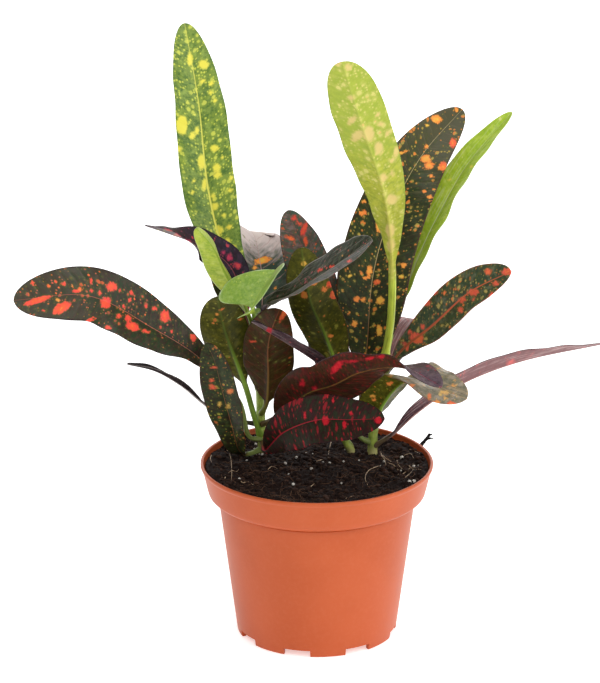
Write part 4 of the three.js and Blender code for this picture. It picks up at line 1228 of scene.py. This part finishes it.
# Purple and crimson leaves: the low ones at the front and the right, maroon with a crimson rib and
# crimson streaks, and pinkish grey ones that are seen edge-on or from below, or stand at the back.
crimson_spots = "A85430 C43030 B8182A"
crimson_under = leaf_skin(
    "crimson_under", "3F2A16 2E1A10 5C1C1A 2A1210 8A6230 6E5A38 6E1C1C 8A2420", crimson_spots,
    rib_foot="7A7038", dots=0.35, warm=0.1, soft=1, rib_width=0.35, rib_soft=0.3, rough=0.36, vein=0.1,
    stretch=2)
arched_top = leaf_skin(
    "arched_top", "5A4650 3A2A32 6E5A60 2E1A20 B02040 6E5A38 7A2A36 8E3A48", crimson_spots, dots=0.2,
    rib_width=0.7, rough=0.28, sheen=0.3)
crimson_top = leaf_skin(
    "crimson_top", "242C1A 261612 38141A 2A1014 A02030 6E5A38 421A18 8E1E26", crimson_spots, dots=0.48,
    warm=0.1, rib_width=0.4, dot_size=2.6, rough=0.5, gloss=0.08, stretch=2.2)
purple_top = leaf_skin(
    "purple_top", "2C1E26 20161A 3A2832 20141A 7A4A4A 7C6A50 5A3038 7A4A48", crimson_spots, dots=0.2)
# Painted sheen: the pale grey lengthwise streaks.
purple_under = leaf_skin(
    "purple_under", "4A3238 33222A 5E4A4C 2A1C22 A0807A 6E6050 8A5A60 9A6A68", crimson_spots, dots=0.2,
    soft=0.5, rough=0.36, painted_sheen_tone="A89C9C", painted_sheen_streaks=0.35)
# Painted sheen: the pale pinkish lengthwise streaks.
rosy_under = leaf_skin(
    "rosy_under", "563A42 3C2832 74504F 2A181E A8807A 7C6A50 9A5A5C B8706A",
    "C87A6A CC6A62 B85A5C", dots=0.35, soft=1, rough=0.45, stretch=2, painted_sheen_tone="D0B8B4",
    painted_sheen_streaks=0.45, tip="825C5C", tip_from=0.1, tip_share=0.8)
grow_leaf(
    "leaf_red_arching", [arched_top, crimson_under], width=32, stalk=16, fold=[4, 6, 20, 24],
    edge=[2, 4, 14, 14], shape=(0.35, 0.8, 2),
    rib=[(-29, 22, 104), (-18, 6, 116), (-5, -10, 133), (8, -21, 141.5), (22, -37, 154),
         (42, -51, 161), (61, -66, 156)],
    face=[(-0.1, 0.95, 0.25), (-0.1, 0.95, 0.25), (-0.05, 0.9, 0.35), (0.1, 0.5, 0.85),
          (0.2, -0.5, 0.85)],
    spots=[
        (335, 368, 24, 7, 1, -50), (302, 386, 6, 7), (314, 390, 5, 4), (352, 362, 10, 3, 1, -10),
        (368, 359, 10, 3, 1, -10), (380, 358, 7, 3, 1, -10)
    ])
grow_leaf(
    "leaf_red_front", [crimson_top, purple_under], width=26, stalk=12, fold=[20, 12],
    edge=[14, 8], shape=(0.5, 1.2, 2.2),
    rib=[(-28, 22, 95), (-27, 5, 96), (-17, -14, 113), (0, -34, 127), (16, -50, 133), (33, -65, 139)],
    face=[(0, -0.9, 0.45)],
    spots=[
        (325.6, 419, 8, 9), (344, 422, 4, 8), (377, 419, 8, 7), (303, 416, 3, 11), (309, 410, 3, 6),
        (331, 401, 3, 7), (350, 414, 4, 4)
    ])
grow_leaf(
    "leaf_narrow_purple", [purple_top, purple_under], width=18, stalk=26, fold=[30, 20],
    edge=[30, 20], shape=(0.5, 1.1, 2.2),
    rib=[(13, 21, 103), (14, 12, 116), (12, 3, 134), (0, -2, 147), (-14, -9, 159), (-24, -14, 167),
         (-33, -18, 174)], face=[(0.5, 0.3, 0.8)], spots=[(266, 334.5, 6, 4)])
grow_leaf(
    "leaf_long_right", [purple_top, rosy_under], width=18, stalk=14, fold=[45, 25, 12],
    edge=[40, 20, 10], shape=(0.4, 0.9, 1.8), wave=0.3, tint=0.8,
    rib=[(29, 21, 92), (39, 16, 101), (50, 10, 114), (62, 6, 125), (79, 6, 135), (105, 14, 142),
         (150, 36, 144)], face=[(0, 0, 1), (-0.3, 0.6, 0.75), (-0.2, 0.35, 0.9)],
    spots=[(512, 363, 9, 4, 0.8, -20)])
grow_leaf(
    "leaf_back_right", [rosy_under, rosy_under], width=22, stalk=12,
    rib=[(33, 23, 118), (41, 40, 141), (50, 56, 150), (56, 65, 146)],
    face=[(0, -0.5, 0.85), (0, 0, 1), (0, 0.4, 0.9)])


size = [[list(corner) for corner in box] for box in (cad_box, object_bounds())]
